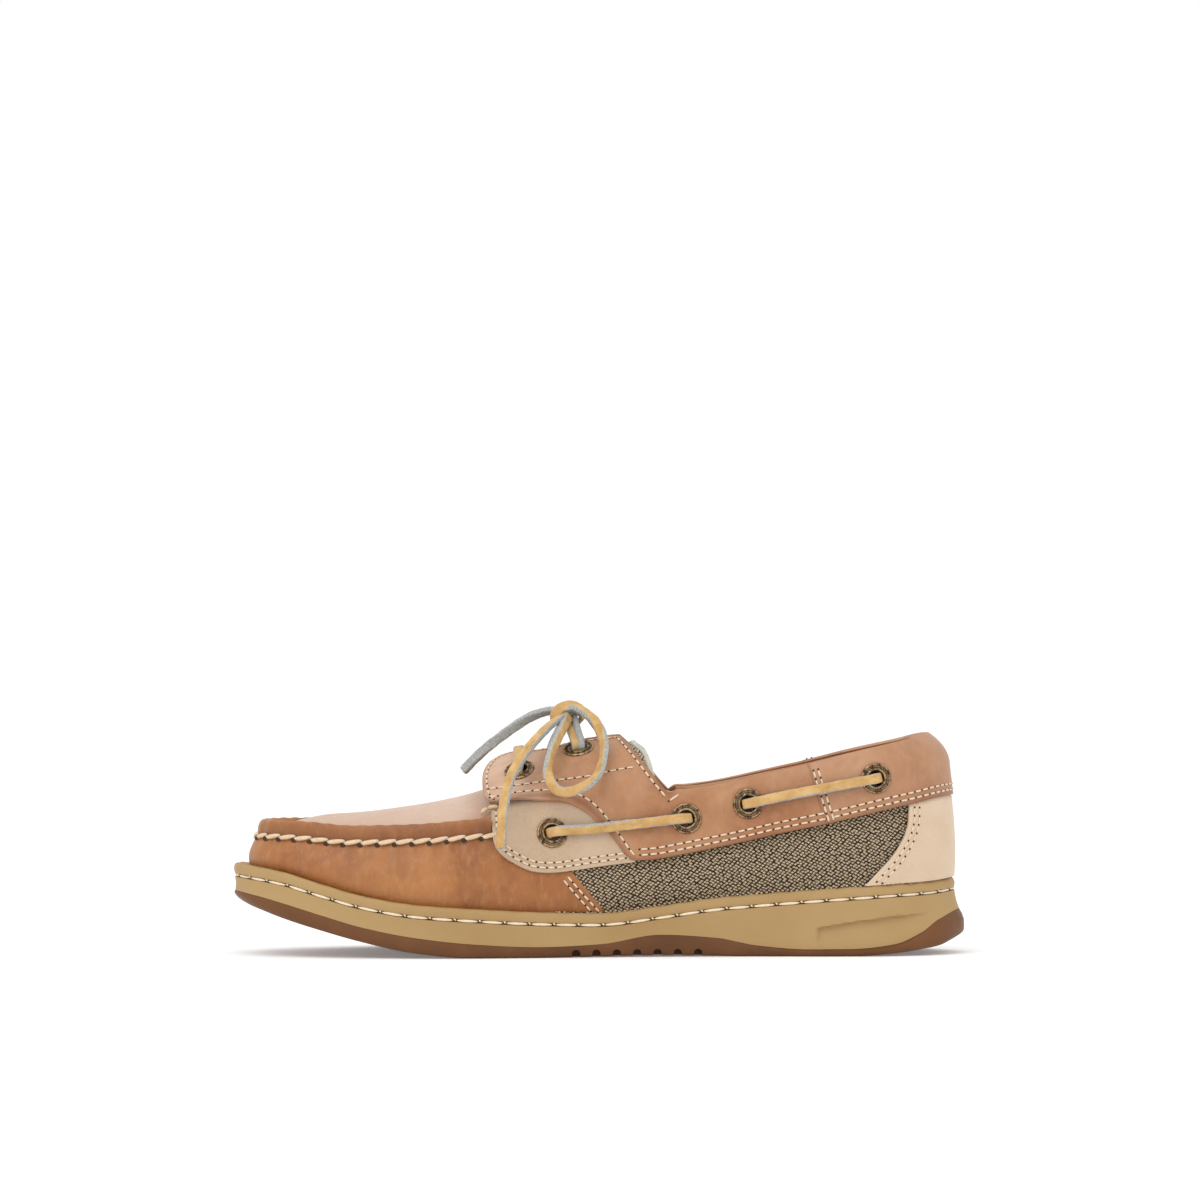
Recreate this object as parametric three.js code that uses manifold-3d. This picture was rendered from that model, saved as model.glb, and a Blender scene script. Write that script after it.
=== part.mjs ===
import * as THREE from "three";
import { ParametricGeometry } from "three/addons/geometries/ParametricGeometry.js";
import { mergeVertices } from "three/addons/utils/BufferGeometryUtils.js";
import Module from "manifold-3d";

const wasm = await Module();
wasm.setup();

// Right boat shoe with side lacing, in millimetres.
// Toe toward -X, heel toward +X, inner side of the foot toward -Y, floor at Z 0.
// The origin is on the floor in the middle of the heel's flat spot.

// Driving sizes of the shoe
const soleLength = 265.4;
const heelOverhang = 62.9;
const ballWidth = 93;
const soleHeight = 33;
const collarHeight = 78.4;
const weltLedge = 5.6;
const heelFlare = 4.4;

// Thicknesses and clearances
const fitGap = 0.3;
const wallThickness = 2;
const leatherThickness = 1.5;
const nubuckThickness = 1;
const tongueThickness = 2.5;
const insoleThickness = 4;
const insoleGap = 1.5;
const seamGap = 0.5;
const eyeletSeat = 1;

// Moccasin seam. The rows give its section as shares of ridgeWidth and ridgeHeight.
const ridgeHeight = 4.6;
const ridgeWidth = 4.4;
const ridgeLean = 0.4;
const ridgeEnd = 0.338;
const ridgeRows = [
  { across: ridgeLean / ridgeWidth, up: 0.75 },
  { across: 0.3, up: 1 },
  { across: 0.7, up: 1 },
  { across: 1, up: 0.3 },
];

// Stitch groove round the sole
const weltLip = 4.2;
const grooveHeight = 1.2;
const grooveDepth = 1;
const grooveInset = 0.3;
const lipRound = 0.6;

// Edges of the sole in section: inset from its outline, and how much of heelFlare applies
const soleEdges = {
  tread: { inset: 2.4, flare: 0 },
  bevel: { inset: 0.5, flare: 0 },
  side: { inset: 0, flare: 0.1 },
  bed: { inset: 0.4, flare: 0.4 },
  split: { inset: 0.4, flare: 0.43 },
  grooveFoot: { inset: grooveInset, flare: 0.8 },
  groove: { inset: grooveInset + grooveDepth, flare: 0.85 },
  grooveTop: { inset: 0.2, flare: 0.85 },
  lip: { inset: 0, flare: 0.9 },
  lipTop: { inset: lipRound, flare: 1 },
  welt: { inset: 1.8, flare: 1 },
};
const fillShares = [0.3, 0.65];

// Tread
const treadBevel = 1.4;
const archGrooves = { first: 0.467, count: 7, pitch: 7.3, radius: 1.4, rise: 1.9, segments: 3 };
const sipes = { first: 0.236, count: 3, pitch: 12.9, depth: 2.6, width: 1.6, slant: 1.8, below: 2 };

// Throat, eyelets and lace. throatLow is a share of soleHeight, throatRound of the half width.
const throatHalfWidth = 11;
const throatMargin = 3;
const throatFront = 0.386;
const throatLow = 1.4;
const throatRound = 0.6;
const tongueHalfWidth = 24;
const eyelet = { outer: 5.5, hole: 2.9, barrel: 3.4, flange: 0.9, depth: 3.2, bevel: 0.8, lip: 0.3 };
const eyeletSides = 8;
const eyeletBore = 12;
const laceRadius = 1.5;
const laceClearance = 0.4;
const laceStart = 0.2;
const barLip = 3.6;
const barDip = 0.1;
const strandLip = 4.4;
const strandBend = { out: 6.5, share: 0.3 };
const knotRadius = 4.3;
const knotStretch = [1.1, 1, 0.85];
const laceSides = 8;
const laceSteps = { bar: 12, throat: 18, strand: 5, loop: 16, nearEnd: 8, farEnd: 7 };

// Fineness of the forms, and how far the bodies that are cut or cut with reach past the shoe
const sideColumns = 22;
const endCrowding = 0.45;
const swellShape = 6.75;
const ribRises = [0, 0.3, 0.65, 1, 1.15, 1.3, 1.5, 1.75, 2];
const ridgeRise = 1.2;
const beyond = 200;
const reachPast = 3;
const trim = 1;

// Search for a place on the last
const search = { rise: 0.9, lowest: 0.01, highest: 1.95, step: 0.0005, rounds: 25 };
const searchMost = { turn: 0.05, rise: 0.2 };

const medial = -1;
const lateral = 1;

// Outline of the sole from above: widths as shares of ballWidth, along as a share of soleLength
const toeTip = { along: 0, lateral: -0.108 };
const heelTip = { along: 1, lateral: 0 };
const planRows = [
  { along: 0.015, medial: 0.258, lateral: 0.065 },
  { along: 0.062, medial: 0.378, lateral: 0.226 },
  { along: 0.134, medial: 0.454, lateral: 0.36 },
  { along: 0.224, medial: 0.492, lateral: 0.457 },
  { along: 0.322, medial: 0.486, lateral: 0.516 },
  { along: 0.416, medial: 0.445, lateral: 0.529 },
  { along: 0.514, medial: 0.383, lateral: 0.503 },
  { along: 0.612, medial: 0.344, lateral: 0.446 },
  { along: 0.71, medial: 0.333, lateral: 0.398 },
  { along: 0.808, medial: 0.34, lateral: 0.366 },
  { along: 0.891, medial: 0.326, lateral: 0.333 },
  { along: 0.955, medial: 0.247, lateral: 0.253 },
  { along: 0.99, medial: 0.124, lateral: 0.124 },
];

// Heights of the sole from the side, as shares of soleHeight, and how much of heelFlare applies
const soleRows = [
  { along: 0, welt: 1, split: 0.703, tread: 0.612, flare: 0 },
  { along: 0.03, welt: 0.976, split: 0.667, tread: 0.536, flare: 0 },
  { along: 0.07, welt: 0.924, split: 0.588, tread: 0.424, flare: 0 },
  { along: 0.12, welt: 0.806, split: 0.47, tread: 0.303, flare: 0 },
  { along: 0.18, welt: 0.673, split: 0.333, tread: 0.173, flare: 0 },
  { along: 0.25, welt: 0.579, split: 0.224, tread: 0.055, flare: 0 },
  { along: 0.33, welt: 0.533, split: 0.152, tread: 0, flare: 0 },
  { along: 0.42, welt: 0.494, split: 0.118, tread: 0, flare: 0 },
  { along: 0.5, welt: 0.479, split: 0.142, tread: 0.008, flare: 0 },
  { along: 0.58, welt: 0.552, split: 0.239, tread: 0.018, flare: 0.05 },
  { along: 0.66, welt: 0.642, split: 0.2, tread: 0.008, flare: 0.2 },
  { along: 0.685, welt: 0.659, split: 0.16, tread: 0, flare: 0.25 },
  { along: 0.71, welt: 0.676, split: 0.121, tread: 0, flare: 0.3 },
  { along: 0.782, welt: 0.721, split: 0.076, tread: 0, flare: 0.45 },
  { along: 0.838, welt: 0.752, split: 0.079, tread: 0, flare: 0.6 },
  { along: 0.9, welt: 0.785, split: 0.13, tread: 0.032, flare: 0.8 },
  { along: 0.936, welt: 0.8, split: 0.248, tread: 0.07, flare: 0.9 },
  { along: 0.96, welt: 0.815, split: 0.388, tread: 0.103, flare: 0.96 },
  { along: 1, welt: 0.848, split: 0.5, tread: 0.206, flare: 1 },
];

// Sections of the last. ledge is a share of weltLedge, shoulder, crown and lift are shares of
// collarHeight, lean and swell are shares of ballWidth, round turns the top from a flat apron
// into a round instep.
const lastRows = [
  { along: 0.021, ledge: 1, shoulder: 0.552, lean: 0.032, crown: 0.642, lift: 0, round: 0, swell: 0.006 },
  { along: 0.085, ledge: 0.89, shoulder: 0.546, lean: 0.043, crown: 0.645, lift: 0, round: 0, swell: 0.011 },
  { along: 0.153, ledge: 0.82, shoulder: 0.528, lean: 0.052, crown: 0.649, lift: 0, round: 0, swell: 0.013 },
  { along: 0.243, ledge: 0.79, shoulder: 0.533, lean: 0.056, crown: 0.682, lift: 0, round: 0, swell: 0.013 },
  { along: 0.322, ledge: 0.75, shoulder: 0.552, lean: 0.056, crown: 0.736, lift: 0.1, round: 0.1, swell: 0.013 },
  { along: 0.371, ledge: 0.71, shoulder: 0.565, lean: 0.052, crown: 0.798, lift: 0.1, round: 0.5, swell: 0.013 },
  { along: 0.435, ledge: 0.64, shoulder: 0.577, lean: 0.043, crown: 0.89, lift: 0.057, round: 0.9, swell: 0.015 },
  { along: 0.513, ledge: 0.57, shoulder: 0.587, lean: 0.032, crown: 0.99, lift: 0.012, round: 1, swell: 0.019 },
  { along: 0.567, ledge: 0.5, shoulder: 0.606, lean: 0.022, crown: 1.014, lift: 0, round: 1, swell: 0.022 },
  { along: 0.65, ledge: 0.39, shoulder: 0.651, lean: 0.013, crown: 1.02, lift: 0, round: 1, swell: 0.026 },
  { along: 0.74, ledge: 0.32, shoulder: 0.708, lean: 0.013, crown: 1.033, lift: 0, round: 1, swell: 0.024 },
  { along: 0.838, ledge: 0.25, shoulder: 0.784, lean: 0.017, crown: 1.071, lift: 0, round: 1, swell: 0.017 },
  { along: 0.921, ledge: 0.18, shoulder: 0.842, lean: 0.022, crown: 1.097, lift: 0, round: 1, swell: 0.011 },
  { along: 0.982, ledge: 0.14, shoulder: 0.867, lean: 0.024, crown: 1.103, lift: 0, round: 1, swell: 0.006 },
];

// Ends of the middle line that the ribs of the last run to
const spine = { front: 0.145, back: 0.865, soften: 0.075 };

// Side outlines: along as a share of soleLength, high as a share of collarHeight
const toplineRows = [
  { along: 0.5, high: 1.06 },
  { along: 0.528, high: 0.987 },
  { along: 0.567, high: 0.839 },
  { along: 0.591, high: 0.744 },
  { along: 0.596, high: 0.742 },
  { along: 0.601, high: 0.76 },
  { along: 0.621, high: 0.761 },
  { along: 0.662, high: 0.782 },
  { along: 0.723, high: 0.827 },
  { along: 0.784, high: 0.872 },
  { along: 0.844, high: 0.923 },
  { along: 0.905, high: 0.969 },
  { along: 0.947, high: 1 },
];
const flapFrontRows = [
  { along: 0.352, high: 0.693 },
  { along: 0.343, high: 0.724 },
  { along: 0.341, high: 0.806 },
  { along: 0.344, high: 0.835 },
  { along: 0.355, high: 0.872 },
  { along: 0.37, high: 0.899 },
  { along: 0.384, high: 0.93 },
];
const quarterLowerRows = [
  { along: 0.809, high: 0.608 },
  { along: 0.743, high: 0.561 },
  { along: 0.682, high: 0.514 },
  { along: 0.589, high: 0.452 },
  { along: 0.545, high: 0.435 },
  { along: 0.538, high: 0.441 },
  { along: 0.52, high: 0.529 },
  { along: 0.501, high: 0.622 },
  { along: 0.483, high: 0.686 },
  { along: 0.46, high: 0.724 },
  { along: 0.417, high: 0.727 },
];
const collarSeamRows = [
  { along: 0.777, high: 0.9 },
  { along: 0.779, high: 0.871 },
  { along: 0.8, high: 0.673 },
  { along: 0.809, high: 0.608 },
];
const collarLowerRows = [
  { along: 0.917, high: 0.693 },
  { along: 0.977, high: 0.732 },
];
const counterRows = [
  { along: 0.856, high: 0.315 },
  { along: 0.873, high: 0.379 },
  { along: 0.898, high: 0.473 },
  { along: 0.915, high: 0.588 },
];
const eyestayRows = [
  { along: 0.354, high: 0.68 },
  { along: 0.354, high: 0.587 },
  { along: 0.355, high: 0.529 },
  { along: 0.361, high: 0.49 },
  { along: 0.379, high: 0.436 },
  { along: 0.403, high: 0.398 },
  { along: 0.427, high: 0.386 },
  { along: 0.456, high: 0.393 },
  { along: 0.499, high: 0.413 },
  { along: 0.533, high: 0.427 },
];
const tongueRearRows = [
  { along: 0.543, high: 1.008 },
  { along: 0.558, high: 0.962 },
  { along: 0.566, high: 0.893 },
  { along: 0.574, high: 0.8 },
  { along: 0.588, high: 0.7 },
];
const tongueFront = 0.372;
const tongueLow = 0.72;
const eyeletRows = [
  { name: "flap_front", along: 0.391, high: 0.832, lifted: true },
  { name: "flap_rear", along: 0.471, high: 0.926, lifted: true },
  { name: "stay", along: 0.434, high: 0.564, lifted: false },
  { name: "collar_front", along: 0.616, high: 0.63, lifted: false },
  { name: "collar_mid", along: 0.7, high: 0.699, lifted: false },
  { name: "collar_rear", along: 0.872, high: 0.815, lifted: false },
];

// Routes of the tied lace, point by point
const knotCentre = [-81.4, 2.5, 86.6];
const nearLoopRoute = [
  [-81, -1, 88],
  [-78.4, -5, 89],
  [-72.5, -11, 85],
  [-68.9, -19, 78.3],
  [-68.9, -28, 70.9],
  [-71.9, -35, 64.2],
  [-79.3, -38, 59.8],
  [-85.5, -38, 60.2],
  [-88.7, -34.5, 66],
  [-87.4, -27, 73.5],
  [-84.4, -17, 79.9],
  [-81.5, -3, 85.5],
];
const farLoopRoute = [
  [-81, 6, 88],
  [-78, 11, 88.5],
  [-73, 19, 84.5],
  [-69.5, 28, 78.5],
  [-69, 37, 71.5],
  [-72, 44.5, 65],
  [-79, 48.5, 60],
  [-86, 48.5, 61],
  [-89, 45, 66.5],
  [-88, 37.5, 73.5],
  [-85, 27, 80],
  [-82, 9, 86],
];
const nearEndRoute = [
  [-82, 0, 86.5],
  [-85, -7, 85],
  [-90, -17, 81],
  [-96.3, -28, 74],
  [-101.6, -36, 65.5],
  [-104, -42, 57],
  [-104.9, -46, 48],
  [-105.4, -48, 39.8],
];
const farEndRoute = [
  [-82, 4, 87.5],
  [-87.5, 7, 87.8],
  [-94, 9, 86],
  [-100, 11, 82.6],
  [-109, 14, 76],
  [-115, 16, 70.8],
  [-120, 18, 65.6],
];

// The bar across the throat: climb above its eyelet as a share of collarHeight, and distance out
const throatBarRise = 0.3;
const throatBarRows = [
  { climb: 0, out: 0.2 },
  { climb: 0.002, out: 3.4 },
  { climb: 0.024, out: 5.6 },
  { climb: 0.055, out: 5.8 },
  { climb: 0.075, out: 5.4 },
];

const alongX = (along) => heelOverhang - soleLength * (1 - along);
const xAlong = (x) => 1 + (x - heelOverhang) / soleLength;
const sidePoint = (row) => new THREE.Vector2(alongX(row.along), row.high * collarHeight);

// Smooth value between the rows of a table, with no overshoot
function valueAt(rows, column, along) {
  const last = rows.length - 1;
  if (along <= rows[0].along) return rows[0][column];
  if (along >= rows[last].along) return rows[last][column];
  const index = rows.findIndex((row) => row.along > along) - 1;
  const slope = (at) => (rows[at + 1][column] - rows[at][column]) / (rows[at + 1].along - rows[at].along);
  const tangent = (at) => {
    if (at === 0 || at === last) return 0;
    const before = slope(at - 1);
    const after = slope(at);
    return before * after > 0 ? (2 * before * after) / (before + after) : 0;
  };
  const span = rows[index + 1].along - rows[index].along;
  const step = (along - rows[index].along) / span;
  const square = step * step;
  const cube = square * step;
  return (
    (2 * cube - 3 * square + 1) * rows[index][column] +
    (cube - 2 * square + step) * span * tangent(index) +
    (3 * square - 2 * cube) * rows[index + 1][column] +
    (cube - square) * span * tangent(index + 1)
  );
}

const soleAt = (column, x) => valueAt(soleRows, column, xAlong(x)) * soleHeight;
const flareAt = (x) => valueAt(soleRows, "flare", xAlong(x)) * heelFlare;
const lastAt = (column, size, x) => valueAt(lastRows, column, xAlong(x)) * size;

// Closed outline of the sole from above, from the toe tip by the inner side to the heel and back
function makePlanCurve() {
  const point = (row, width) => new THREE.Vector3(alongX(row.along), width * ballWidth, 0);
  const inner = planRows.map((row) => point(row, -row.medial));
  const outer = planRows.map((row) => point(row, row.lateral)).reverse();
  const points = [point(toeTip, toeTip.lateral), ...inner, point(heelTip, heelTip.lateral), ...outer];
  const curve = new THREE.CatmullRomCurve3(points, true, "catmullrom", 0.5);
  curve.arcLengthDivisions = 40 * points.length;
  return curve;
}
const planCurve = makePlanCurve();
const planLengths = planCurve.getLengths();
const heelShare = planLengths[(planLengths.length - 1) / 2] / planLengths[planLengths.length - 1];

// Turn runs from 0 at the toe tip to 0.5 at the heel on the inner side and on to 1 on the outer
const wrap = (turn) => ((turn % 1) + 1) % 1;
const planPosition = (turn) => (turn <= 0.5 ? 2 * turn * heelShare : 1 - 2 * (1 - turn) * (1 - heelShare));

function planPoint(turn, inset) {
  const position = planPosition(wrap(turn));
  const point = planCurve.getPointAt(position);
  const tangent = planCurve.getTangentAt(position);
  return new THREE.Vector2(point.x - tangent.y * inset, point.y + tangent.x * inset);
}

// Middle line of the shoe, shared by the two sides
function spinePoint(turn) {
  const own = Math.min(wrap(turn), 1 - wrap(turn));
  const middle = planPoint(own, 0).add(planPoint(1 - own, 0)).multiplyScalar(0.5);
  const soften = spine.soften * soleLength;
  const front = alongX(spine.front);
  const back = alongX(spine.back);
  const fromFront = (middle.x + front + Math.hypot(middle.x - front, soften)) / 2;
  const x = (fromFront + back - Math.hypot(fromFront - back, soften)) / 2;
  return new THREE.Vector2(x, middle.y);
}

const middleLine = spinePoint(0.25).y;

// Point of the last: rise 0 is the foot of the wall, 1 its shoulder and 2 the middle line.
// lifted raises the crown for the loose flaps over the instep.
function lastPoint(turn, rise, lifted) {
  const edge = planPoint(turn, 0);
  const ledge = lastAt("ledge", weltLedge, edge.x) + flareAt(edge.x);
  const foot = planPoint(turn, ledge);
  const middle = spinePoint(turn);
  const width = foot.distanceTo(middle);
  const footHeight = soleAt("welt", foot.x) + fitGap;
  const shoulder = lastAt("shoulder", collarHeight, foot.x);
  const lean = lastAt("lean", ballWidth, foot.x);
  const swell = lastAt("swell", ballWidth, foot.x);
  if (rise <= 1) {
    const inward = lean * rise * rise - swell * swellShape * rise * (1 - rise) ** 2;
    const place = foot.clone().lerp(middle, inward / width);
    return new THREE.Vector3(place.x, place.y, footHeight + (shoulder - footHeight) * rise);
  }
  const angle = ((rise - 1) * Math.PI) / 2;
  const round = valueAt(lastRows, "round", xAlong(foot.x));
  const across = THREE.MathUtils.lerp(rise - 1, 1 - Math.cos(angle), round);
  const lift = lifted ? lastAt("lift", collarHeight, middle.x) : 0;
  const crown = lastAt("crown", collarHeight, middle.x) + lift;
  const place = foot.clone().lerp(middle, (lean + (width - lean) * across) / width);
  return new THREE.Vector3(place.x, place.y, shoulder + (crown - shoulder) * Math.sin(angle));
}

// The same point moved out from the last by a distance, level at the foot and upright on top
function skinPoint(turn, rise, out, lifted = false) {
  const point = lastPoint(turn, rise, lifted);
  if (rise >= 2) return point.setZ(point.z + out);
  const step = 0.001;
  const low = Math.max(rise - step, 0);
  const along = lastPoint(turn + step, rise, lifted).sub(lastPoint(turn - step, rise, lifted));
  const up = lastPoint(turn, rise + step, lifted).sub(lastPoint(turn, low, lifted));
  const normal = along.cross(up);
  if (rise === 0) normal.z = 0;
  return point.addScaledVector(normal.normalize(), out);
}

// Turns of the columns, closer together at toe and heel
const columnTurns = Array.from({ length: 2 * sideColumns + 1 }, (unused, index) => {
  const half = index / sideColumns;
  return (half - (endCrowding * Math.sin(2 * Math.PI * half)) / (2 * Math.PI)) / 2;
});

// Closed body through rings, each a function from turn to point
function bodyOfRings(rings) {
  const columns = columnTurns.length - 1;
  const place = (across, up, target) => {
    const turn = wrap(columnTurns[Math.round(across * columns)]);
    target.copy(rings[Math.round(up * (rings.length - 1))](turn));
  };
  return toSolid(new ParametricGeometry(place, columns, rings.length - 1));
}

function toSolid(geometry) {
  geometry.deleteAttribute("normal");
  geometry.deleteAttribute("uv");
  const merged = mergeVertices(geometry, 1e-5);
  const vertProperties = new Float32Array(merged.attributes.position.array);
  const triVerts = new Uint32Array(merged.index.array);
  return new wasm.Manifold(new wasm.Mesh({ numProp: 3, vertProperties, triVerts }));
}

function toGeometry(solid) {
  const mesh = solid.getMesh();
  const geometry = new THREE.BufferGeometry();
  geometry.setAttribute("position", new THREE.BufferAttribute(new Float32Array(mesh.vertProperties), 3));
  geometry.setIndex(new THREE.BufferAttribute(new Uint32Array(mesh.triVerts), 1));
  geometry.computeVertexNormals();
  return geometry;
}

const ring = (inset, flareShare, height) => (turn) => {
  const edge = planPoint(turn, 0);
  const place = planPoint(turn, inset + flareShare * flareAt(edge.x));
  return new THREE.Vector3(place.x, place.y, height(place.x));
};
const edgeRing = (name, height) => ring(soleEdges[name].inset, soleEdges[name].flare, height);
const spineRing = (height) => (turn) => {
  const middle = spinePoint(turn);
  return new THREE.Vector3(middle.x, middle.y, height(middle.x));
};

// Rings inside an edge, down to the middle line. Two layers that meet share the same edge.
const fillRings = (edge, height) => {
  const between = (share) => (turn) => {
    const place = edge(turn).lerp(spineRing(height)(turn), share);
    return place.setZ(height(place.x));
  };
  return [edge, ...fillShares.map(between), spineRing(height)];
};
const soleLayer = (height) => fillRings(edgeRing("split", height), height);

// Body that reaches a little past the shoe and ends in a level layer on top, to cut with
function bodyUnder(layer) {
  const deep = () => -beyond;
  const outside = (height) => ring(-reachPast, 0, height);
  return bodyOfRings([spineRing(deep), outside(deep), outside(layer.height), ...layer.rings]);
}

// Inner edge of the wall's foot, which the insole lies in
const insoleEdge = (height) => (turn) => {
  const edge = planPoint(turn, 0);
  const inset = lastAt("ledge", weltLedge, edge.x) + flareAt(edge.x) + wallThickness + insoleGap;
  const place = planPoint(turn, inset);
  return new THREE.Vector3(place.x, place.y, height(place.x));
};
const footLayer = (height) => fillRings(insoleEdge(height), height);
const weltLayer = (height) => [edgeRing("welt", height), ...footLayer(height)];
const floorHeight = (x) => soleAt("welt", x) + fitGap;
const makeFootCut = () => bodyUnder({ height: floorHeight, rings: weltLayer(floorHeight) });

// Form of the last, moved out by a distance, with a foot that may reach lower
function lastForm(out, { footDrop = 0, lifted = false, ridge = false } = {}) {
  const footHeight = (x) => floorHeight(x) - footDrop;
  const foot = (turn) => {
    const point = skinPoint(turn, 0, out, lifted);
    return point.setZ(footHeight(point.x));
  };
  const skin = (rise) => (turn) => skinPoint(turn, rise, out, lifted);
  const crest = (row) => (turn) => {
    const width = planPoint(turn, lastAt("ledge", weltLedge, 0)).distanceTo(spinePoint(turn));
    const point = skinPoint(turn, 1 + (row.across * ridgeWidth) / width, out, lifted);
    return point.setZ(point.z + row.up * ridgeHeight);
  };
  const below = ribRises.filter((rise) => rise > 0 && rise <= 1).map(skin);
  const crests = ridge ? ridgeRows.map(crest) : [];
  const above = ribRises.filter((rise) => rise > (ridge ? ridgeRise : 1)).map(skin);
  return bodyOfRings([spineRing(footHeight), foot, ...below, ...crests, ...above]);
}

// Prism of a side outline, through the shoe from one Y to another
function sidePrism(points, from, to) {
  const shape = new THREE.Shape(points);
  const geometry = new THREE.ExtrudeGeometry(shape, { depth: to - from, bevelEnabled: false });
  geometry.rotateX(Math.PI / 2);
  geometry.translate(0, to, 0);
  return toSolid(geometry);
}

// Prism of an outline from above
function planPrism(points, low, high) {
  const shape = new THREE.Shape(points);
  const geometry = new THREE.ExtrudeGeometry(shape, { depth: high - low, bevelEnabled: false });
  geometry.translate(0, 0, low);
  return toSolid(geometry);
}

const corner = (x, z) => new THREE.Vector2(x, z);

function sideOutline(rows) {
  return rows.map(sidePoint);
}

// What is cut away above the topline and behind the flaps
function makeOpening() {
  const rim = sideOutline(toplineRows);
  const end = rim[rim.length - 1];
  const outline = [...rim, corner(beyond, end.y), corner(beyond, beyond), corner(rim[0].x, beyond)];
  return sidePrism(outline, -beyond, beyond);
}

// What is cut away between the two flaps
function makeThroat(halfWidth) {
  const front = alongX(throatFront);
  const back = alongX(toplineRows[3].along);
  const rounded = halfWidth * throatRound;
  const outline = [
    corner(front, middleLine - halfWidth + rounded),
    corner(front, middleLine + halfWidth - rounded),
    corner(front + rounded, middleLine + halfWidth),
    corner(back, middleLine + halfWidth),
    corner(back, middleLine - halfWidth),
    corner(front + rounded, middleLine - halfWidth),
  ];
  return planPrism(outline, soleHeight * throatLow, beyond);
}

// Point and outward direction on the last where a side view shows them
function skinSpot(side, row, lifted) {
  const target = sidePoint(row);
  let along = side === medial ? row.along / 2 : 1 - row.along / 2;
  let rise = search.rise;
  const step = search.step;
  const miss = (turn, height) => {
    const point = lastPoint(turn, height, lifted);
    return corner(point.x - target.x, point.z - target.y);
  };
  for (let round = 0; round < search.rounds; round += 1) {
    const here = miss(along, rise);
    const byTurn = miss(along + step, rise).sub(here).divideScalar(step);
    const byRise = miss(along, rise + step).sub(here).divideScalar(step);
    const scale = byTurn.x * byRise.y - byTurn.y * byRise.x;
    const turnMiss = (here.x * byRise.y - here.y * byRise.x) / scale;
    const riseMiss = (byTurn.x * here.y - byTurn.y * here.x) / scale;
    along -= THREE.MathUtils.clamp(turnMiss, -searchMost.turn, searchMost.turn);
    rise -= THREE.MathUtils.clamp(riseMiss, -searchMost.rise, searchMost.rise);
    rise = THREE.MathUtils.clamp(rise, search.lowest, search.highest);
  }
  const point = lastPoint(along, rise, lifted);
  const normal = skinPoint(along, rise, 1, lifted).sub(point).normalize();
  return { point, normal };
}

const spotOut = (spot, out) => spot.point.clone().addScaledVector(spot.normal, out);

function makeEyeletSpots() {
  const spots = [];
  for (const side of [medial, lateral]) {
    for (const row of eyeletRows) {
      const spot = skinSpot(side, row, row.lifted);
      const backing = row.name === "stay" ? nubuckThickness : leatherThickness;
      spots.push({ ...spot, side, name: row.name, seat: backing + eyeletSeat });
    }
  }
  return spots;
}
const eyeletSpots = makeEyeletSpots();
const eyeletSpot = (side, name) => eyeletSpots.find((spot) => spot.side === side && spot.name === name);
const sideName = (side) => (side === medial ? "medial" : "lateral");

function placeOnSpot(geometry, spot) {
  const turn = new THREE.Quaternion().setFromUnitVectors(new THREE.Vector3(0, 1, 0), spot.normal);
  geometry.applyQuaternion(turn);
  geometry.translate(spot.point.x, spot.point.y, spot.point.z);
  return geometry;
}

// Holes for the eyelet barrels
function makeEyeletHoles() {
  const radius = eyelet.barrel + fitGap;
  const holes = eyeletSpots.map((spot) => {
    const bore = new THREE.CylinderGeometry(radius, radius, eyeletBore, eyeletSides);
    return toSolid(placeOnSpot(bore, spot));
  });
  return holes.reduce((whole, hole) => whole.add(hole));
}
const eyeletHoles = makeEyeletHoles();

// Strip of leather laid over the last
function overlay(prism, thickness, lifted) {
  const outer = lastForm(fitGap + thickness, { footDrop: 2 * trim, lifted });
  const inner = lastForm(fitGap, { footDrop: 4 * trim, lifted });
  return outer.subtract(inner).intersect(prism).subtract(eyeletHoles);
}

const sideRange = (side) => (side === medial ? [-beyond, middleLine] : [middleLine, beyond]);

function makeOutsole() {
  const top = (x) => soleAt("split", x) - fitGap / 2;
  const tread = (x) => soleAt("tread", x);
  const bevelTop = (x) => Math.min(tread(x) + treadBevel, (tread(x) + top(x)) / 2);
  const middle = (x) => (bevelTop(x) + top(x)) / 2;
  const body = bodyOfRings([
    ...fillRings(edgeRing("tread", tread), tread).reverse(),
    edgeRing("bevel", bevelTop),
    edgeRing("side", middle),
    ...soleLayer(top),
  ]);
  return body.subtract(makeArchGrooves()).subtract(makeSipes());
}

// Round grooves that open at the side of the arch
function makeArchGrooves() {
  const bores = [];
  for (let index = 0; index < archGrooves.count; index += 1) {
    const x = alongX(archGrooves.first) + index * archGrooves.pitch;
    const shape = new THREE.Shape();
    shape.moveTo(x - archGrooves.radius, -reachPast);
    shape.lineTo(x + archGrooves.radius, -reachPast);
    shape.absarc(x, archGrooves.rise, archGrooves.radius, 0, Math.PI, false);
    const options = { depth: ballWidth * 2, bevelEnabled: false, curveSegments: archGrooves.segments };
    const bore = new THREE.ExtrudeGeometry(shape, options);
    bore.rotateX(Math.PI / 2);
    bore.translate(0, ballWidth, 0);
    bores.push(toSolid(bore));
  }
  return bores.reduce((whole, bore) => whole.add(bore));
}

// Slanted sipes across the forefoot
function makeSipes() {
  const cuts = [];
  for (let index = 0; index < sipes.count; index += 1) {
    const x = alongX(sipes.first) + index * sipes.pitch;
    const floor = soleAt("tread", x);
    const outline = [
      corner(x - sipes.width / 2 + sipes.slant, floor - sipes.below),
      corner(x + sipes.width / 2 + sipes.slant, floor - sipes.below),
      corner(x, floor + sipes.depth),
    ];
    cuts.push(sidePrism(outline, -ballWidth, ballWidth));
  }
  return cuts.reduce((whole, cut) => whole.add(cut));
}

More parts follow.
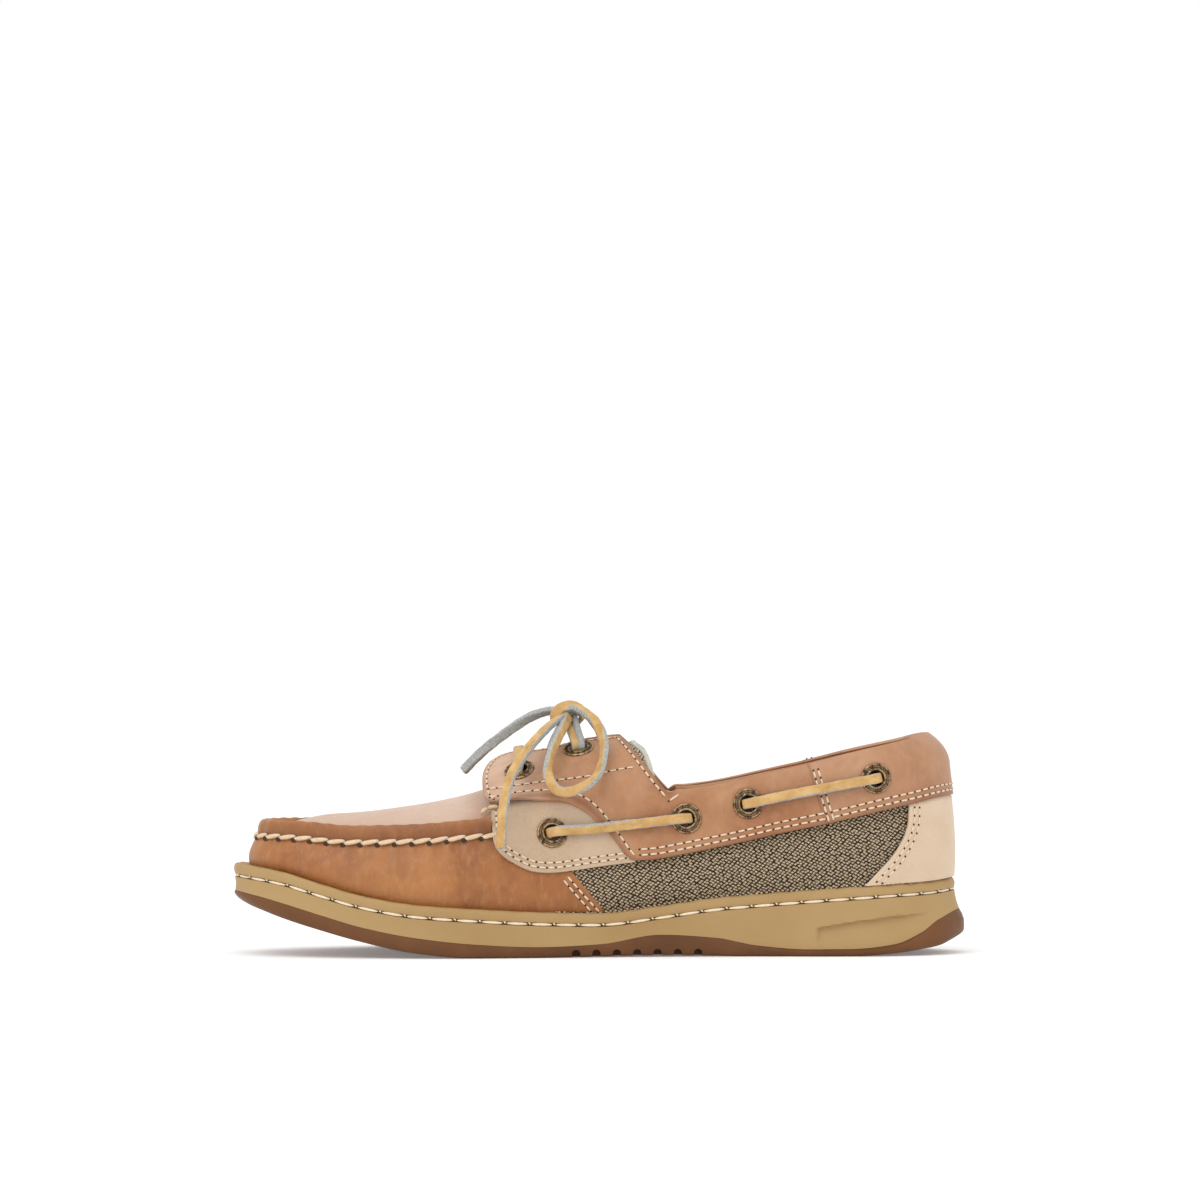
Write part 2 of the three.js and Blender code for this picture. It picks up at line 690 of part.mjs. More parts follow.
function makeMidsole() {
  const low = (x) => soleAt("split", x) + fitGap / 2;
  const overlap = (x) => soleAt("split", x) - trim;
  const welt = (x) => soleAt("welt", x);
  const below = (distance) => (x) => welt(x) - distance;
  const grooveTop = weltLip - grooveHeight / 2;
  const grooveFoot = weltLip + grooveHeight / 2;
  const body = bodyOfRings([
    spineRing(overlap),
    edgeRing("bed", overlap),
    edgeRing("split", low),
    edgeRing("grooveFoot", below(grooveFoot)),
    edgeRing("groove", below(weltLip)),
    edgeRing("grooveTop", below(grooveTop)),
    edgeRing("lip", below(weltLip / 2)),
    edgeRing("lipTop", below(lipRound)),
    ...weltLayer(welt),
  ]);
  return body.subtract(bodyUnder({ height: low, rings: soleLayer(low) }));
}

function makeInsole() {
  const low = (x) => floorHeight(x) - trim;
  const high = (x) => floorHeight(x) + insoleThickness;
  return bodyOfRings([spineRing(low), insoleEdge(low), ...footLayer(high)]).subtract(makeFootCut());
}

function makeUpper() {
  const end = alongX(ridgeEnd);
  const front = [corner(-beyond, 0), corner(end, 0), corner(end, beyond), corner(-beyond, beyond)];
  const ridged = lastForm(0, { ridge: true, footDrop: trim }).intersect(sidePrism(front, -beyond, beyond));
  const outside = lastForm(0, { footDrop: trim }).add(ridged);
  const inside = lastForm(-wallThickness, { footDrop: 4 * trim });
  const shell = outside.subtract(inside).subtract(makeFootCut());
  const open = shell.subtract(makeOpening()).subtract(makeThroat(throatHalfWidth + throatMargin));
  return open.subtract(eyeletHoles);
}

function makeTongue() {
  const outer = lastForm(-wallThickness - fitGap);
  const inner = lastForm(-wallThickness - fitGap - tongueThickness, { footDrop: 3 * trim });
  const rear = sideOutline(tongueRearRows).reverse();
  const top = rear[rear.length - 1].x;
  const front = alongX(tongueFront);
  const low = tongueLow * collarHeight;
  const outline = [corner(front, low), ...rear, corner(top, beyond), corner(front, beyond)];
  const prism = sidePrism(outline, middleLine - tongueHalfWidth, middleLine + tongueHalfWidth);
  return outer.subtract(inner).intersect(prism);
}

function makeQuarter(side) {
  const rim = sideOutline(toplineRows);
  const seam = sideOutline(collarSeamRows).map((point) => corner(point.x - fitGap / 2, point.y));
  const front = sideOutline(flapFrontRows);
  const lower = sideOutline(quarterLowerRows.slice(1));
  const over = [corner(rim[0].x, beyond), corner(seam[0].x, beyond)];
  const outline = [...front, ...over, ...seam, ...lower];
  const [from, to] = sideRange(side);
  const prism = sidePrism(outline, from, to);
  const flap = overlay(prism, leatherThickness, true);
  return flap.subtract(makeOpening()).subtract(makeThroat(throatHalfWidth));
}

function makeCollar() {
  const seam = sideOutline(collarSeamRows).map((point) => corner(point.x + fitGap / 2, point.y));
  const lower = sideOutline(collarLowerRows);
  const end = lower[lower.length - 1];
  const over = [corner(beyond, end.y), corner(beyond, beyond), corner(seam[0].x, beyond)];
  const outline = [...seam, ...lower, ...over];
  return overlay(sidePrism(outline, -beyond, beyond), leatherThickness, false).subtract(makeOpening());
}

function makeCounter() {
  const front = sideOutline(counterRows);
  const lower = sideOutline(collarLowerRows);
  const foot = front[0].y - reachPast;
  const top = lower.map((point) => corner(point.x, point.y - seamGap));
  const heel = [corner(beyond, top[top.length - 1].y), corner(beyond, foot)];
  const prism = sidePrism([corner(front[0].x, foot), ...front, ...top, ...heel], -beyond, beyond);
  const outer = lastForm(fitGap + nubuckThickness, { footDrop: trim });
  const inner = lastForm(fitGap, { footDrop: 4 * trim });
  return outer.intersect(prism).subtract(inner).subtract(makeFootCut());
}

function makeEyestay(side) {
  const lower = sideOutline(eyestayRows.slice(1));
  const edge = sideOutline([...quarterLowerRows.slice(5), flapFrontRows[0]]);
  const upper = edge.map((point) => corner(point.x - seamGap, point.y - seamGap));
  const [from, to] = sideRange(side);
  return overlay(sidePrism([...lower, ...upper], from, to), nubuckThickness, false);
}

// Flanged ring with its barrel, standing along Y until it is placed
function makeEyelet(spot) {
  const base = spot.seat;
  const crest = base + eyelet.flange;
  const profile = [
    [eyelet.hole, -eyelet.depth + base],
    [eyelet.barrel, -eyelet.depth + base],
    [eyelet.barrel, base],
    [eyelet.outer, base],
    [eyelet.outer - eyelet.bevel, crest],
    [eyelet.hole + eyelet.lip, crest],
    [eyelet.hole, -eyelet.depth + base],
  ].map(([radius, height]) => new THREE.Vector2(radius, height));
  return placeOnSpot(new THREE.LatheGeometry(profile, eyeletSides), spot);
}

function laceSection(radius) {
  const shape = new THREE.Shape();
  for (let index = 0; index < laceSides; index += 1) {
    const angle = (2 * Math.PI * index) / laceSides;
    const x = radius * Math.cos(angle);
    const y = radius * Math.sin(angle);
    if (index === 0) shape.moveTo(x, y);
    else shape.lineTo(x, y);
  }
  return shape;
}

function laceTube(points, steps) {
  const path = new THREE.CatmullRomCurve3(points.map((point) => new THREE.Vector3(...point)));
  const options = { steps, extrudePath: path, bevelEnabled: false };
  return new THREE.ExtrudeGeometry(laceSection(laceRadius), options);
}

// Side bar of lace between two eyelets, clear of the leather under it
function makeSideBar(side, fromName, toName) {
  const from = eyeletRows.find((row) => row.name === fromName);
  const to = eyeletRows.find((row) => row.name === toName);
  const rimHeight = leatherThickness + eyeletSeat + eyelet.flange;
  const clear = rimHeight + laceRadius + fitGap + laceClearance;
  const half = [
    { share: 0, out: laceStart },
    { share: 0.012, out: barLip },
    { share: 0.06, out: clear - barDip },
    { share: 0.16, out: clear },
    { share: 0.33, out: clear },
  ];
  const stops = [...half, ...half.map(({ share, out }) => ({ share: 1 - share, out })).reverse()];
  const points = stops.map(({ share, out }) => {
    const along = THREE.MathUtils.lerp(from.along, to.along, share);
    const high = THREE.MathUtils.lerp(from.high, to.high, share);
    return spotOut(skinSpot(side, { along, high }, false), out).toArray();
  });
  return laceTube(points, laceSteps.bar);
}

// Bar of lace across the throat, from one front flap eyelet to the other
function makeThroatBar() {
  const inner = eyeletSpot(medial, "flap_front");
  const outer = eyeletSpot(lateral, "flap_front");
  const rising = (side) =>
    throatBarRows.map(({ climb, out }) => {
      const row = { along: eyeletRows[0].along, high: eyeletRows[0].high + climb };
      return spotOut(skinSpot(side, row, true), out);
    });
  const near = rising(medial);
  const far = rising(lateral).reverse();
  const top = spotOut(inner, 0).add(spotOut(outer, 0)).multiplyScalar(0.5);
  top.z = near[near.length - 1].z + throatBarRise;
  const points = [...near, top, ...far].map((point) => point.toArray());
  return laceTube(points, laceSteps.throat);
}

// Knot with the strands from the rear flap eyelets, two loops and two ends, as one solid
function makeBow() {
  const knot = new THREE.SphereGeometry(knotRadius, 8, 5);
  knot.scale(...knotStretch);
  knot.translate(...knotCentre);
  const strands = [medial, lateral].map((side) => {
    const spot = eyeletSpot(side, "flap_rear");
    const start = spotOut(spot, laceStart);
    const lip = spotOut(spot, strandLip);
    const end = new THREE.Vector3(...knotCentre);
    const bend = spotOut(spot, strandBend.out).lerp(end, strandBend.share);
    const points = [start, lip, bend, end].map((point) => point.toArray());
    return laceTube(points, laceSteps.strand);
  });
  const tubes = [
    ...strands,
    laceTube(nearLoopRoute, laceSteps.loop),
    laceTube(farLoopRoute, laceSteps.loop),
    laceTube(nearEndRoute, laceSteps.nearEnd),
    laceTube(farEndRoute, laceSteps.farEnd),
  ];
  return tubes.reduce((whole, tube) => whole.add(toSolid(tube)), toSolid(knot));
}

const finish = (color, roughness, metalness = 0) =>
  new THREE.MeshStandardMaterial({ color, roughness, metalness });
const gumRubber = finish(0x8c5537, 0.7);
const tanRubber = finish(0xc4a26a, 0.65);
const brownLeather = finish(0xc4906a, 0.55);
const paleNubuck = finish(0xdcbd98, 0.85);
const wovenMesh = finish(0x9a8a6c, 0.9);
const liningLeather = finish(0xd8c4a6, 0.8);
const antiqueBrass = finish(0x7a6242, 0.4, 0.9);
const rawhide = finish(0xd9b474, 0.6);

const shoe = new THREE.Group();

function addMesh(name, geometry, material) {
  const mesh = new THREE.Mesh(geometry, material);
  mesh.name = name;
  shoe.add(mesh);
}

addMesh("outsole", toGeometry(makeOutsole()), gumRubber);
addMesh("midsole", toGeometry(makeMidsole()), tanRubber);
addMesh("insole", toGeometry(makeInsole()), liningLeather);
addMesh("upper", toGeometry(makeUpper()), brownLeather);
addMesh("tongue", toGeometry(makeTongue()), wovenMesh);
addMesh("collar_back", toGeometry(makeCollar()), brownLeather);
addMesh("counter", toGeometry(makeCounter()), paleNubuck);
for (const side of [medial, lateral]) {
  addMesh(`quarter_${sideName(side)}`, toGeometry(makeQuarter(side)), brownLeather);
  addMesh(`eyestay_${sideName(side)}`, toGeometry(makeEyestay(side)), paleNubuck);
  addMesh(`lace_${sideName(side)}_front`, makeSideBar(side, "stay", "collar_front"), rawhide);
  addMesh(`lace_${sideName(side)}_rear`, makeSideBar(side, "collar_mid", "collar_rear"), rawhide);
}
for (const spot of eyeletSpots) {
  addMesh(`eyelet_${sideName(spot.side)}_${spot.name}`, makeEyelet(spot), antiqueBrass);
}
addMesh("lace_throat", makeThroatBar(), rawhide);
addMesh("lace_bow", toGeometry(makeBow()), rawhide);

export default shoe;
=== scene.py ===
import math

import bpy
import numpy as np
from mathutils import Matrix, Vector
from mathutils.bvhtree import BVHTree


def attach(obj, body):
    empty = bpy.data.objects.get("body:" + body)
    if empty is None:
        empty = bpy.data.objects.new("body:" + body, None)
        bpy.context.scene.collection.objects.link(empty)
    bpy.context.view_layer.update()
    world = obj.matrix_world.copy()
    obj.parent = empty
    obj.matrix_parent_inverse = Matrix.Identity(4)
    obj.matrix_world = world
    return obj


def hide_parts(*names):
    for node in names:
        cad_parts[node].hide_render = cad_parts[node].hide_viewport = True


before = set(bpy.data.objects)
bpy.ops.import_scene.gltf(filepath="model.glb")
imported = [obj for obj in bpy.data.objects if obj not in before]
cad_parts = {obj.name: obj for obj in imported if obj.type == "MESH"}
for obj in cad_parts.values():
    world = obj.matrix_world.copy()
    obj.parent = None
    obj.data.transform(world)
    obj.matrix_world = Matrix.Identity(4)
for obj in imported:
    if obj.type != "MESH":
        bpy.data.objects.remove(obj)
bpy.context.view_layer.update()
mm = 0.001
medial, lateral = -1, 1
sideWords = {medial: "medial", lateral: "lateral"}


# Sizes of the shoe, as in the solids: toe toward -X, heel toward +X, inner side toward -Y
shoe = {
    "soleLength": 265.4 * mm,
    "heelOverhang": 62.9 * mm,
    "ballWidth": 93 * mm,
    "soleHeight": 33 * mm,
    "collarHeight": 78.4 * mm,
    "weltLedge": 5.6 * mm,
    "heelFlare": 4.4 * mm,
    "fitGap": 0.3 * mm,
    "wall": 2 * mm,
    "swellShape": 6.75,
}

# Outline of the sole from above: widths as shares of ballWidth
planTable = {
    "along": [0.015, 0.062, 0.134, 0.224, 0.322, 0.416, 0.514, 0.612, 0.71, 0.808, 0.891, 0.955, 0.99],
    "medial": [0.258, 0.378, 0.454, 0.492, 0.486, 0.445, 0.383, 0.344, 0.333, 0.34, 0.326, 0.247, 0.124],
    "lateral": [0.065, 0.226, 0.36, 0.457, 0.516, 0.529, 0.503, 0.446, 0.398, 0.366, 0.333, 0.253, 0.124],
}
toeTipShare = -0.108

# Heights of the sole from the side as shares of soleHeight, and how much of heelFlare applies
soleTable = {
    "along": [0, 0.03, 0.07, 0.12, 0.18, 0.25, 0.33, 0.42, 0.5, 0.58,
              0.66, 0.685, 0.71, 0.782, 0.838, 0.9, 0.936, 0.96, 1],
    "welt": [1, 0.976, 0.924, 0.806, 0.673, 0.579, 0.533, 0.494, 0.479, 0.552,
             0.642, 0.659, 0.676, 0.721, 0.752, 0.785, 0.8, 0.815, 0.848],
    "split": [0.703, 0.667, 0.588, 0.47, 0.333, 0.224, 0.152, 0.118, 0.142, 0.239,
              0.2, 0.16, 0.121, 0.076, 0.079, 0.13, 0.248, 0.388, 0.5],
    "tread": [0.612, 0.536, 0.424, 0.303, 0.173, 0.055, 0, 0, 0.008, 0.018,
              0.008, 0, 0, 0, 0, 0.032, 0.07, 0.103, 0.206],
    "flare": [0, 0, 0, 0, 0, 0, 0, 0, 0, 0.05, 0.2, 0.25, 0.3, 0.45, 0.6, 0.8, 0.9, 0.96, 1],
}

# Sections of the last: ledge is a share of weltLedge, shoulder, crown and lift are shares of
# collarHeight, lean and swell are shares of ballWidth, round turns a flat apron into an instep
lastTable = {
    "along": [0.021, 0.085, 0.153, 0.243, 0.322, 0.371, 0.435,
              0.513, 0.567, 0.65, 0.74, 0.838, 0.921, 0.982],
    "ledge": [1, 0.89, 0.82, 0.79, 0.75, 0.71, 0.64, 0.57, 0.5, 0.39, 0.32, 0.25, 0.18, 0.14],
    "shoulder": [0.552, 0.546, 0.528, 0.533, 0.552, 0.565, 0.577,
                 0.587, 0.606, 0.651, 0.708, 0.784, 0.842, 0.867],
    "lean": [0.032, 0.043, 0.052, 0.056, 0.056, 0.052, 0.043,
             0.032, 0.022, 0.013, 0.013, 0.017, 0.022, 0.024],
    "crown": [0.642, 0.645, 0.649, 0.682, 0.736, 0.798, 0.89,
              0.99, 1.014, 1.02, 1.033, 1.071, 1.097, 1.103],
    "lift": [0, 0, 0, 0, 0.1, 0.1, 0.057, 0.012, 0, 0, 0, 0, 0, 0],
    "round": [0, 0, 0, 0, 0.1, 0.5, 0.9, 1, 1, 1, 1, 1, 1, 1],
    "swell": [0.006, 0.011, 0.013, 0.013, 0.013, 0.013, 0.015,
              0.019, 0.022, 0.026, 0.024, 0.017, 0.011, 0.006],
}
spine = {"front": 0.145, "back": 0.865, "soften": 0.075}


def alongX(along):
    return shoe["heelOverhang"] - shoe["soleLength"] * (1 - np.asarray(along, float))


def xAlong(x):
    return 1 + (np.asarray(x, float) - shoe["heelOverhang"]) / shoe["soleLength"]


# Smooth value between the entries of a table, with no overshoot
def valueAt(table, column, along):
    places, values = np.array(table["along"], float), np.array(table[column], float)
    slopes = np.diff(values) / np.diff(places)
    tangents = np.zeros(len(places))
    before, after = slopes[:-1], slopes[1:]
    same = before * after > 0
    tangents[1:-1][same] = 2 * before[same] * after[same] / (before[same] + after[same])
    along = np.clip(along, places[0], places[-1])
    index = np.clip(np.searchsorted(places, along, side="right") - 1, 0, len(places) - 2)
    span = places[index + 1] - places[index]
    t = (along - places[index]) / span
    return (
        (2 * t**3 - 3 * t**2 + 1) * values[index]
        + (t**3 - 2 * t**2 + t) * span * tangents[index]
        + (3 * t**2 - 2 * t**3) * values[index + 1]
        + (t**3 - t**2) * span * tangents[index + 1]
    )


def soleAt(column, x):
    return valueAt(soleTable, column, xAlong(x)) * shoe["soleHeight"]


def flareAt(x):
    return valueAt(soleTable, "flare", xAlong(x)) * shoe["heelFlare"]


def lastAt(column, size, x):
    return valueAt(lastTable, column, xAlong(x)) * size


# Closed outline of the sole, from the toe tip by the inner side to the heel and back
def planKnots():
    x = list(alongX(planTable["along"]))
    inner = [-w * shoe["ballWidth"] for w in planTable["medial"]]
    outer = [w * shoe["ballWidth"] for w in planTable["lateral"]]
    xs = [float(alongX(0)), *x, float(alongX(1)), *x[::-1]]
    ys = [toeTipShare * shoe["ballWidth"], *inner, 0, *outer[::-1]]
    return np.array([xs, ys]).T


knots = planKnots()


# Point and slope of a smooth curve, a share f of the way from knot p1 to knot p2
def curveThrough(p0, p1, p2, p3, f):
    bend, twist = 2 * p0 - 5 * p1 + 4 * p2 - p3, 3 * p1 - p0 - 3 * p2 + p3
    point = 0.5 * (2 * p1 + (p2 - p0) * f + bend * f**2 + twist * f**3)
    return point, 0.5 * ((p2 - p0) + 2 * bend * f + 3 * twist * f**2)


# Distance walked along a line up to each of its points
def walkAlong(points):
    return np.concatenate([[0], np.cumsum(np.linalg.norm(np.diff(points, axis=0), axis=1))])


def planAt(t):
    count = len(knots)
    at = (t % 1) * count
    index = np.floor(at).astype(int) % count
    around = [knots[(index + k) % count] for k in (-1, 0, 1, 2)]
    point, slope = curveThrough(*around, (at - np.floor(at))[..., None])
    return point, slope / np.linalg.norm(slope, axis=-1, keepdims=True)


planSteps = np.linspace(0, 1, 60 * len(knots) + 1)
planWalk = walkAlong(planAt(planSteps)[0])
planRound = planWalk[-1]
heelShare = np.interp(0.5, planSteps, planWalk) / planRound


# Turn runs from 0 at the toe tip to 0.5 at the heel on the inner side and on to 1 on the outer
def planPoint(turn, inset):
    turn = np.asarray(turn, float) % 1
    share = np.where(turn <= 0.5, 2 * turn * heelShare, 1 - 2 * (1 - turn) * (1 - heelShare))
    point, tangent = planAt(np.interp(share * planRound, planWalk, planSteps))
    inset = np.asarray(inset, float)[..., None]
    return point + inset * np.stack([-tangent[..., 1], tangent[..., 0]], -1)


def spinePoint(turn):
    own = np.minimum(turn % 1, 1 - turn % 1)
    middle = (planPoint(own, 0) + planPoint(1 - own, 0)) / 2
    soften = spine["soften"] * shoe["soleLength"]
    front, back = float(alongX(spine["front"])), float(alongX(spine["back"]))
    x = (middle[..., 0] + front + np.hypot(middle[..., 0] - front, soften)) / 2
    x = (x + back - np.hypot(x - back, soften)) / 2
    return np.stack([x, middle[..., 1]], -1)


# Point of the last: rise 0 is the foot of the wall, 1 its shoulder and 2 the middle line
def lastPoint(turn, rise, lifted=False):
    turn, rise = np.broadcast_arrays(np.asarray(turn, float), np.asarray(rise, float))
    edge = planPoint(turn, np.zeros(turn.shape))
    ledge = lastAt("ledge", shoe["weltLedge"], edge[..., 0]) + flareAt(edge[..., 0])
    foot = planPoint(turn, ledge)
    middle = spinePoint(turn)
    across = middle - foot
    width = np.linalg.norm(across, axis=-1)
    x = foot[..., 0]
    footHeight = soleAt("welt", x) + shoe["fitGap"]
    shoulder = lastAt("shoulder", shoe["collarHeight"], x)
    lean = lastAt("lean", shoe["ballWidth"], x)
    swell = lastAt("swell", shoe["ballWidth"], x)
    crown = lastAt("crown", shoe["collarHeight"], middle[..., 0])
    if lifted:
        crown = crown + lastAt("lift", shoe["collarHeight"], middle[..., 0])
    low, high = np.minimum(rise, 1), np.clip(rise - 1, 0, 1)
    angle = high * math.pi / 2
    rounding = valueAt(lastTable, "round", xAlong(x))
    over = high + (1 - np.cos(angle) - high) * rounding
    inward = lean * low**2 - swell * shoe["swellShape"] * low * (1 - low) ** 2
    inward = np.where(rise <= 1, inward, lean + (width - lean) * over)
    height = np.where(
        rise <= 1, footHeight + (shoulder - footHeight) * rise, shoulder + (crown - shoulder) * np.sin(angle)
    )
    place = foot + across * (inward / width)[..., None]
    return np.concatenate([place, height[..., None]], -1)


# The same point moved out from the last by a distance, with its outward direction
def skinPoint(turn, rise, out=0.0, lifted=False):
    step = 0.001
    turn, rise, out = np.broadcast_arrays(*(np.asarray(v, float) for v in (turn, rise, out)))
    steady = np.minimum(rise, 1.97)
    point = lastPoint(turn, rise, lifted)
    along = lastPoint(turn + step, steady, lifted) - lastPoint(turn - step, steady, lifted)
    up = lastPoint(turn, steady + step, lifted) - lastPoint(turn, np.maximum(steady - step, 0), lifted)
    normal = np.cross(along, up)
    normal[..., 2] = np.where(rise <= 0, 0, normal[..., 2])
    normal /= np.linalg.norm(normal, axis=-1, keepdims=True)
    return point + normal * out[..., None], normal


# How the search for a spot goes: its tries, the step that it feels ahead and its longest strides
search = {"tries": 40, "step": 0.0004, "turnStride": 0.03, "riseStride": 0.15, "flattest": 1e-9}


# Turn and rise of the last where a view that shows two axes has a point. rises holds the rise that the
# search starts from, the least and the most.
def spotSeen(side, points, axes, rises, lifted):
    points = np.asarray(points, float)
    share = xAlong(points[:, 0]) / 2
    turn = share if side == medial else 1 - share
    rise = np.full(len(points), rises[0])
    step, longTurn, longRise = search["step"], search["turnStride"], search["riseStride"]
    for _ in range(search["tries"]):
        here = lastPoint(turn, rise, lifted)[:, axes] - points
        byTurn = (lastPoint(turn + step, rise, lifted)[:, axes] - points - here) / step
        byRise = (lastPoint(turn, rise + step, lifted)[:, axes] - points - here) / step
        scale = byTurn[:, 0] * byRise[:, 1] - byTurn[:, 1] * byRise[:, 0]
        scale = np.where(np.abs(scale) < search["flattest"], search["flattest"], scale)
        turnMove = (here[:, 0] * byRise[:, 1] - here[:, 1] * byRise[:, 0]) / scale
        riseMove = (byTurn[:, 0] * here[:, 1] - byTurn[:, 1] * here[:, 0]) / scale
        turn = turn - np.clip(turnMove, -longTurn, longTurn)
        rise = np.clip(rise - np.clip(riseMove, -longRise, longRise), rises[1], rises[2])
    return np.stack([turn, rise], -1)


# Where a side view shows a point x, z
def sideSpot(side, points, lifted=False):
    return spotSeen(side, points, [0, 2], (0.8, -0.05, 1.96), lifted)


# Where a view from above shows a point x, y
def topSpot(side, points, lifted=False):
    return spotSeen(side, points, [0, 1], (1.5, 1.01, 1.98), lifted)


# Smooth line through given points, in equal steps
def smoothLine(points, count, closed=False):
    points = np.asarray(points, float)
    if closed:
        padded = np.vstack([points[-1], points, points[:2]])
    else:
        padded = np.vstack([2 * points[0] - points[1], points, 2 * points[-1] - points[-2]])
    fine = []
    for p0, p1, p2, p3 in zip(padded[:-3], padded[1:-2], padded[2:-1], padded[3:]):
        fine.append(curveThrough(p0, p1, p2, p3, np.linspace(0, 1, 24, endpoint=False)[:, None])[0])
    fine = np.vstack([*fine, padded[-2]])
    walk = walkAlong(fine)
    at = np.linspace(0, walk[-1], count)
    return np.stack([np.interp(at, walk, fine[:, k]) for k in range(fine.shape[1])], -1)


def lineLength(points):
    return float(np.linalg.norm(np.diff(points, axis=0), axis=1).sum())


def unit(v):
    return v / np.maximum(np.linalg.norm(v, axis=-1, keepdims=True), 1e-12)


def smoothStep(low, high, x):
    t = np.clip((x - low) / (high - low), 0, 1)
    return t * t * (3 - 2 * t)


def deselectAll():
    bpy.ops.object.select_all(action="DESELECT")


def selectOnly(piece):
    deselectAll()
    bpy.context.view_layer.objects.active = piece
    piece.select_set(True)


def giveAttribute(piece, name, values):
    made = piece.data.attributes.new(name, "FLOAT", "POINT")
    made.data.foreach_set("value", np.asarray(values, np.float32).reshape(-1))


# A flat grid pressed onto a form: points is rows + 1 by columns + 1, counted along then up
def mouldedGrid(name, points, tile=None, **attributes):
    rows, columns = points.shape[0] - 1, points.shape[1] - 1
    deselectAll()
    bpy.ops.mesh.primitive_grid_add(x_subdivisions=columns, y_subdivisions=rows, size=1)
    piece = bpy.context.object
    piece.name = piece.data.name = name
    piece.data.vertices.foreach_set("co", points.astype(np.float32).reshape(-1))
    if tile is not None:
        loops = np.empty(len(piece.data.loops), int)
        piece.data.loops.foreach_get("vertex_index", loops)
        flat = tile.reshape(-1, 2)[loops].astype(np.float32)
        piece.data.uv_layers[0].data.foreach_set("uv", flat.reshape(-1))
    for key, values in attributes.items():
        giveAttribute(piece, key, np.broadcast_to(values, points.shape[:2]))
    piece.data.update()
    return piece


def sew(piece, reach=0.004 * mm):
    selectOnly(piece)
    bpy.ops.object.mode_set(mode="EDIT")
    bpy.ops.mesh.select_all(action="SELECT")
    bpy.ops.mesh.remove_doubles(threshold=reach)
    bpy.ops.mesh.normals_make_consistent(inside=False)
    bpy.ops.object.mode_set(mode="OBJECT")


def modify(piece, kind, **settings):
    selectOnly(piece)
    bpy.ops.object.modifier_add(type=kind)
    made = piece.modifiers[-1]
    for key, value in settings.items():
        setattr(made, key, value)
    bpy.ops.object.modifier_apply(modifier=made.name)


# Gives a sheet its thickness, inwards, and rounds its cut edges
def thicken(piece, thickness, rounding=0.0):
    modify(piece, "SOLIDIFY", thickness=thickness, offset=-1)
    if rounding:
        modify(piece, "BEVEL", width=rounding, segments=3, limit_method="ANGLE", angle_limit=math.radians(55))


def smooth(piece, degrees):
    selectOnly(piece)
    bpy.ops.object.shade_smooth_by_angle(angle=math.radians(degrees))


def joinPieces(name, pieces):
    deselectAll()
    for piece in pieces:
        piece.select_set(True)
    bpy.context.view_layer.objects.active = pieces[0]
    if len(pieces) > 1:
        bpy.ops.object.join()
    pieces[0].name = pieces[0].data.name = name
    return pieces[0]


# Smooths a piece up to an angle and gives it its body, materials and the solids it stands for
def finishPiece(piece, slotName, *materials, stands=(), degrees=50):
    smooth(piece, degrees)
    if piece.data.materials:
        piece.data.materials.clear()
    for material in materials:
        piece.data.materials.append(material)
    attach(piece, "root")
    if stands:
        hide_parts(*stands)
    return piece


# Camera
cameraPlan = {"place": (-70 * mm, -2300 * mm, 128.1 * mm), "sensor": 36, "lens": 189.56}
bpy.ops.object.camera_add(location=cameraPlan["place"], rotation=(math.pi / 2, 0, 0))
camera = bpy.context.object
camera.data.sensor_width = cameraPlan["sensor"]
camera.data.lens = cameraPlan["lens"]
camera.data.clip_end = 60
bpy.context.scene.camera = camera
print("camera placed")


# Materials
def srgb(red, green, blue):
    parts = [c / 255 for c in (red, green, blue)]
    return tuple(c / 12.92 if c <= 0.04045 else ((c + 0.055) / 1.055) ** 2.4 for c in parts) + (1,)


def addNode(tree, kind, inputs=None, **settings):
    made = tree.nodes.new("ShaderNode" + kind)
    for key, value in settings.items():
        setattr(made, key, value)
    for key, value in (inputs or {}).items():
        socket = made.inputs[key]
        if isinstance(value, bpy.types.NodeSocket):
            tree.links.new(value, socket)
        else:
            socket.default_value = value
    return made


def startMaterial(name):
    material = bpy.data.materials.new(name)
    material.use_nodes = True
    tree = material.node_tree
    shader = next(n for n in tree.nodes if n.type == "BSDF_PRINCIPLED")
    return material, tree, shader


def mixed(tree, share, one, two, blend="MIX"):
    made = addNode(tree, "Mix", {0: share, 6: one, 7: two}, data_type="RGBA", blend_type=blend)
    return made.outputs[2]


def ramp(tree, value, low, high, toLow=0.0, toHigh=1.0):
    inputs = {"Value": value, "From Min": low, "From Max": high, "To Min": toLow, "To Max": toHigh}
    return addNode(tree, "MapRange", inputs).outputs["Result"]


def objectSpace(tree, stretch=(1, 1, 1)):
    place = addNode(tree, "TexCoord").outputs["Object"]
    return addNode(tree, "Mapping", {"Vector": place, "Scale": stretch}).outputs["Vector"]


def noise(tree, vector, scale, detail=3.0, roughness=0.55):
    inputs = {"Vector": vector, "Scale": scale, "Detail": detail, "Roughness": roughness}
    return addNode(tree, "TexNoise", inputs).outputs["Fac"]


def bumped(tree, height, distance, strength=1.0, under=None):
    inputs = {"Height": height, "Distance": distance, "Strength": strength}
    if under is not None:
        inputs["Normal"] = under
    return addNode(tree, "Bump", inputs).outputs["Normal"]


def attributeOf(tree, name):
    return addNode(tree, "Attribute", attribute_name=name).outputs["Fac"]
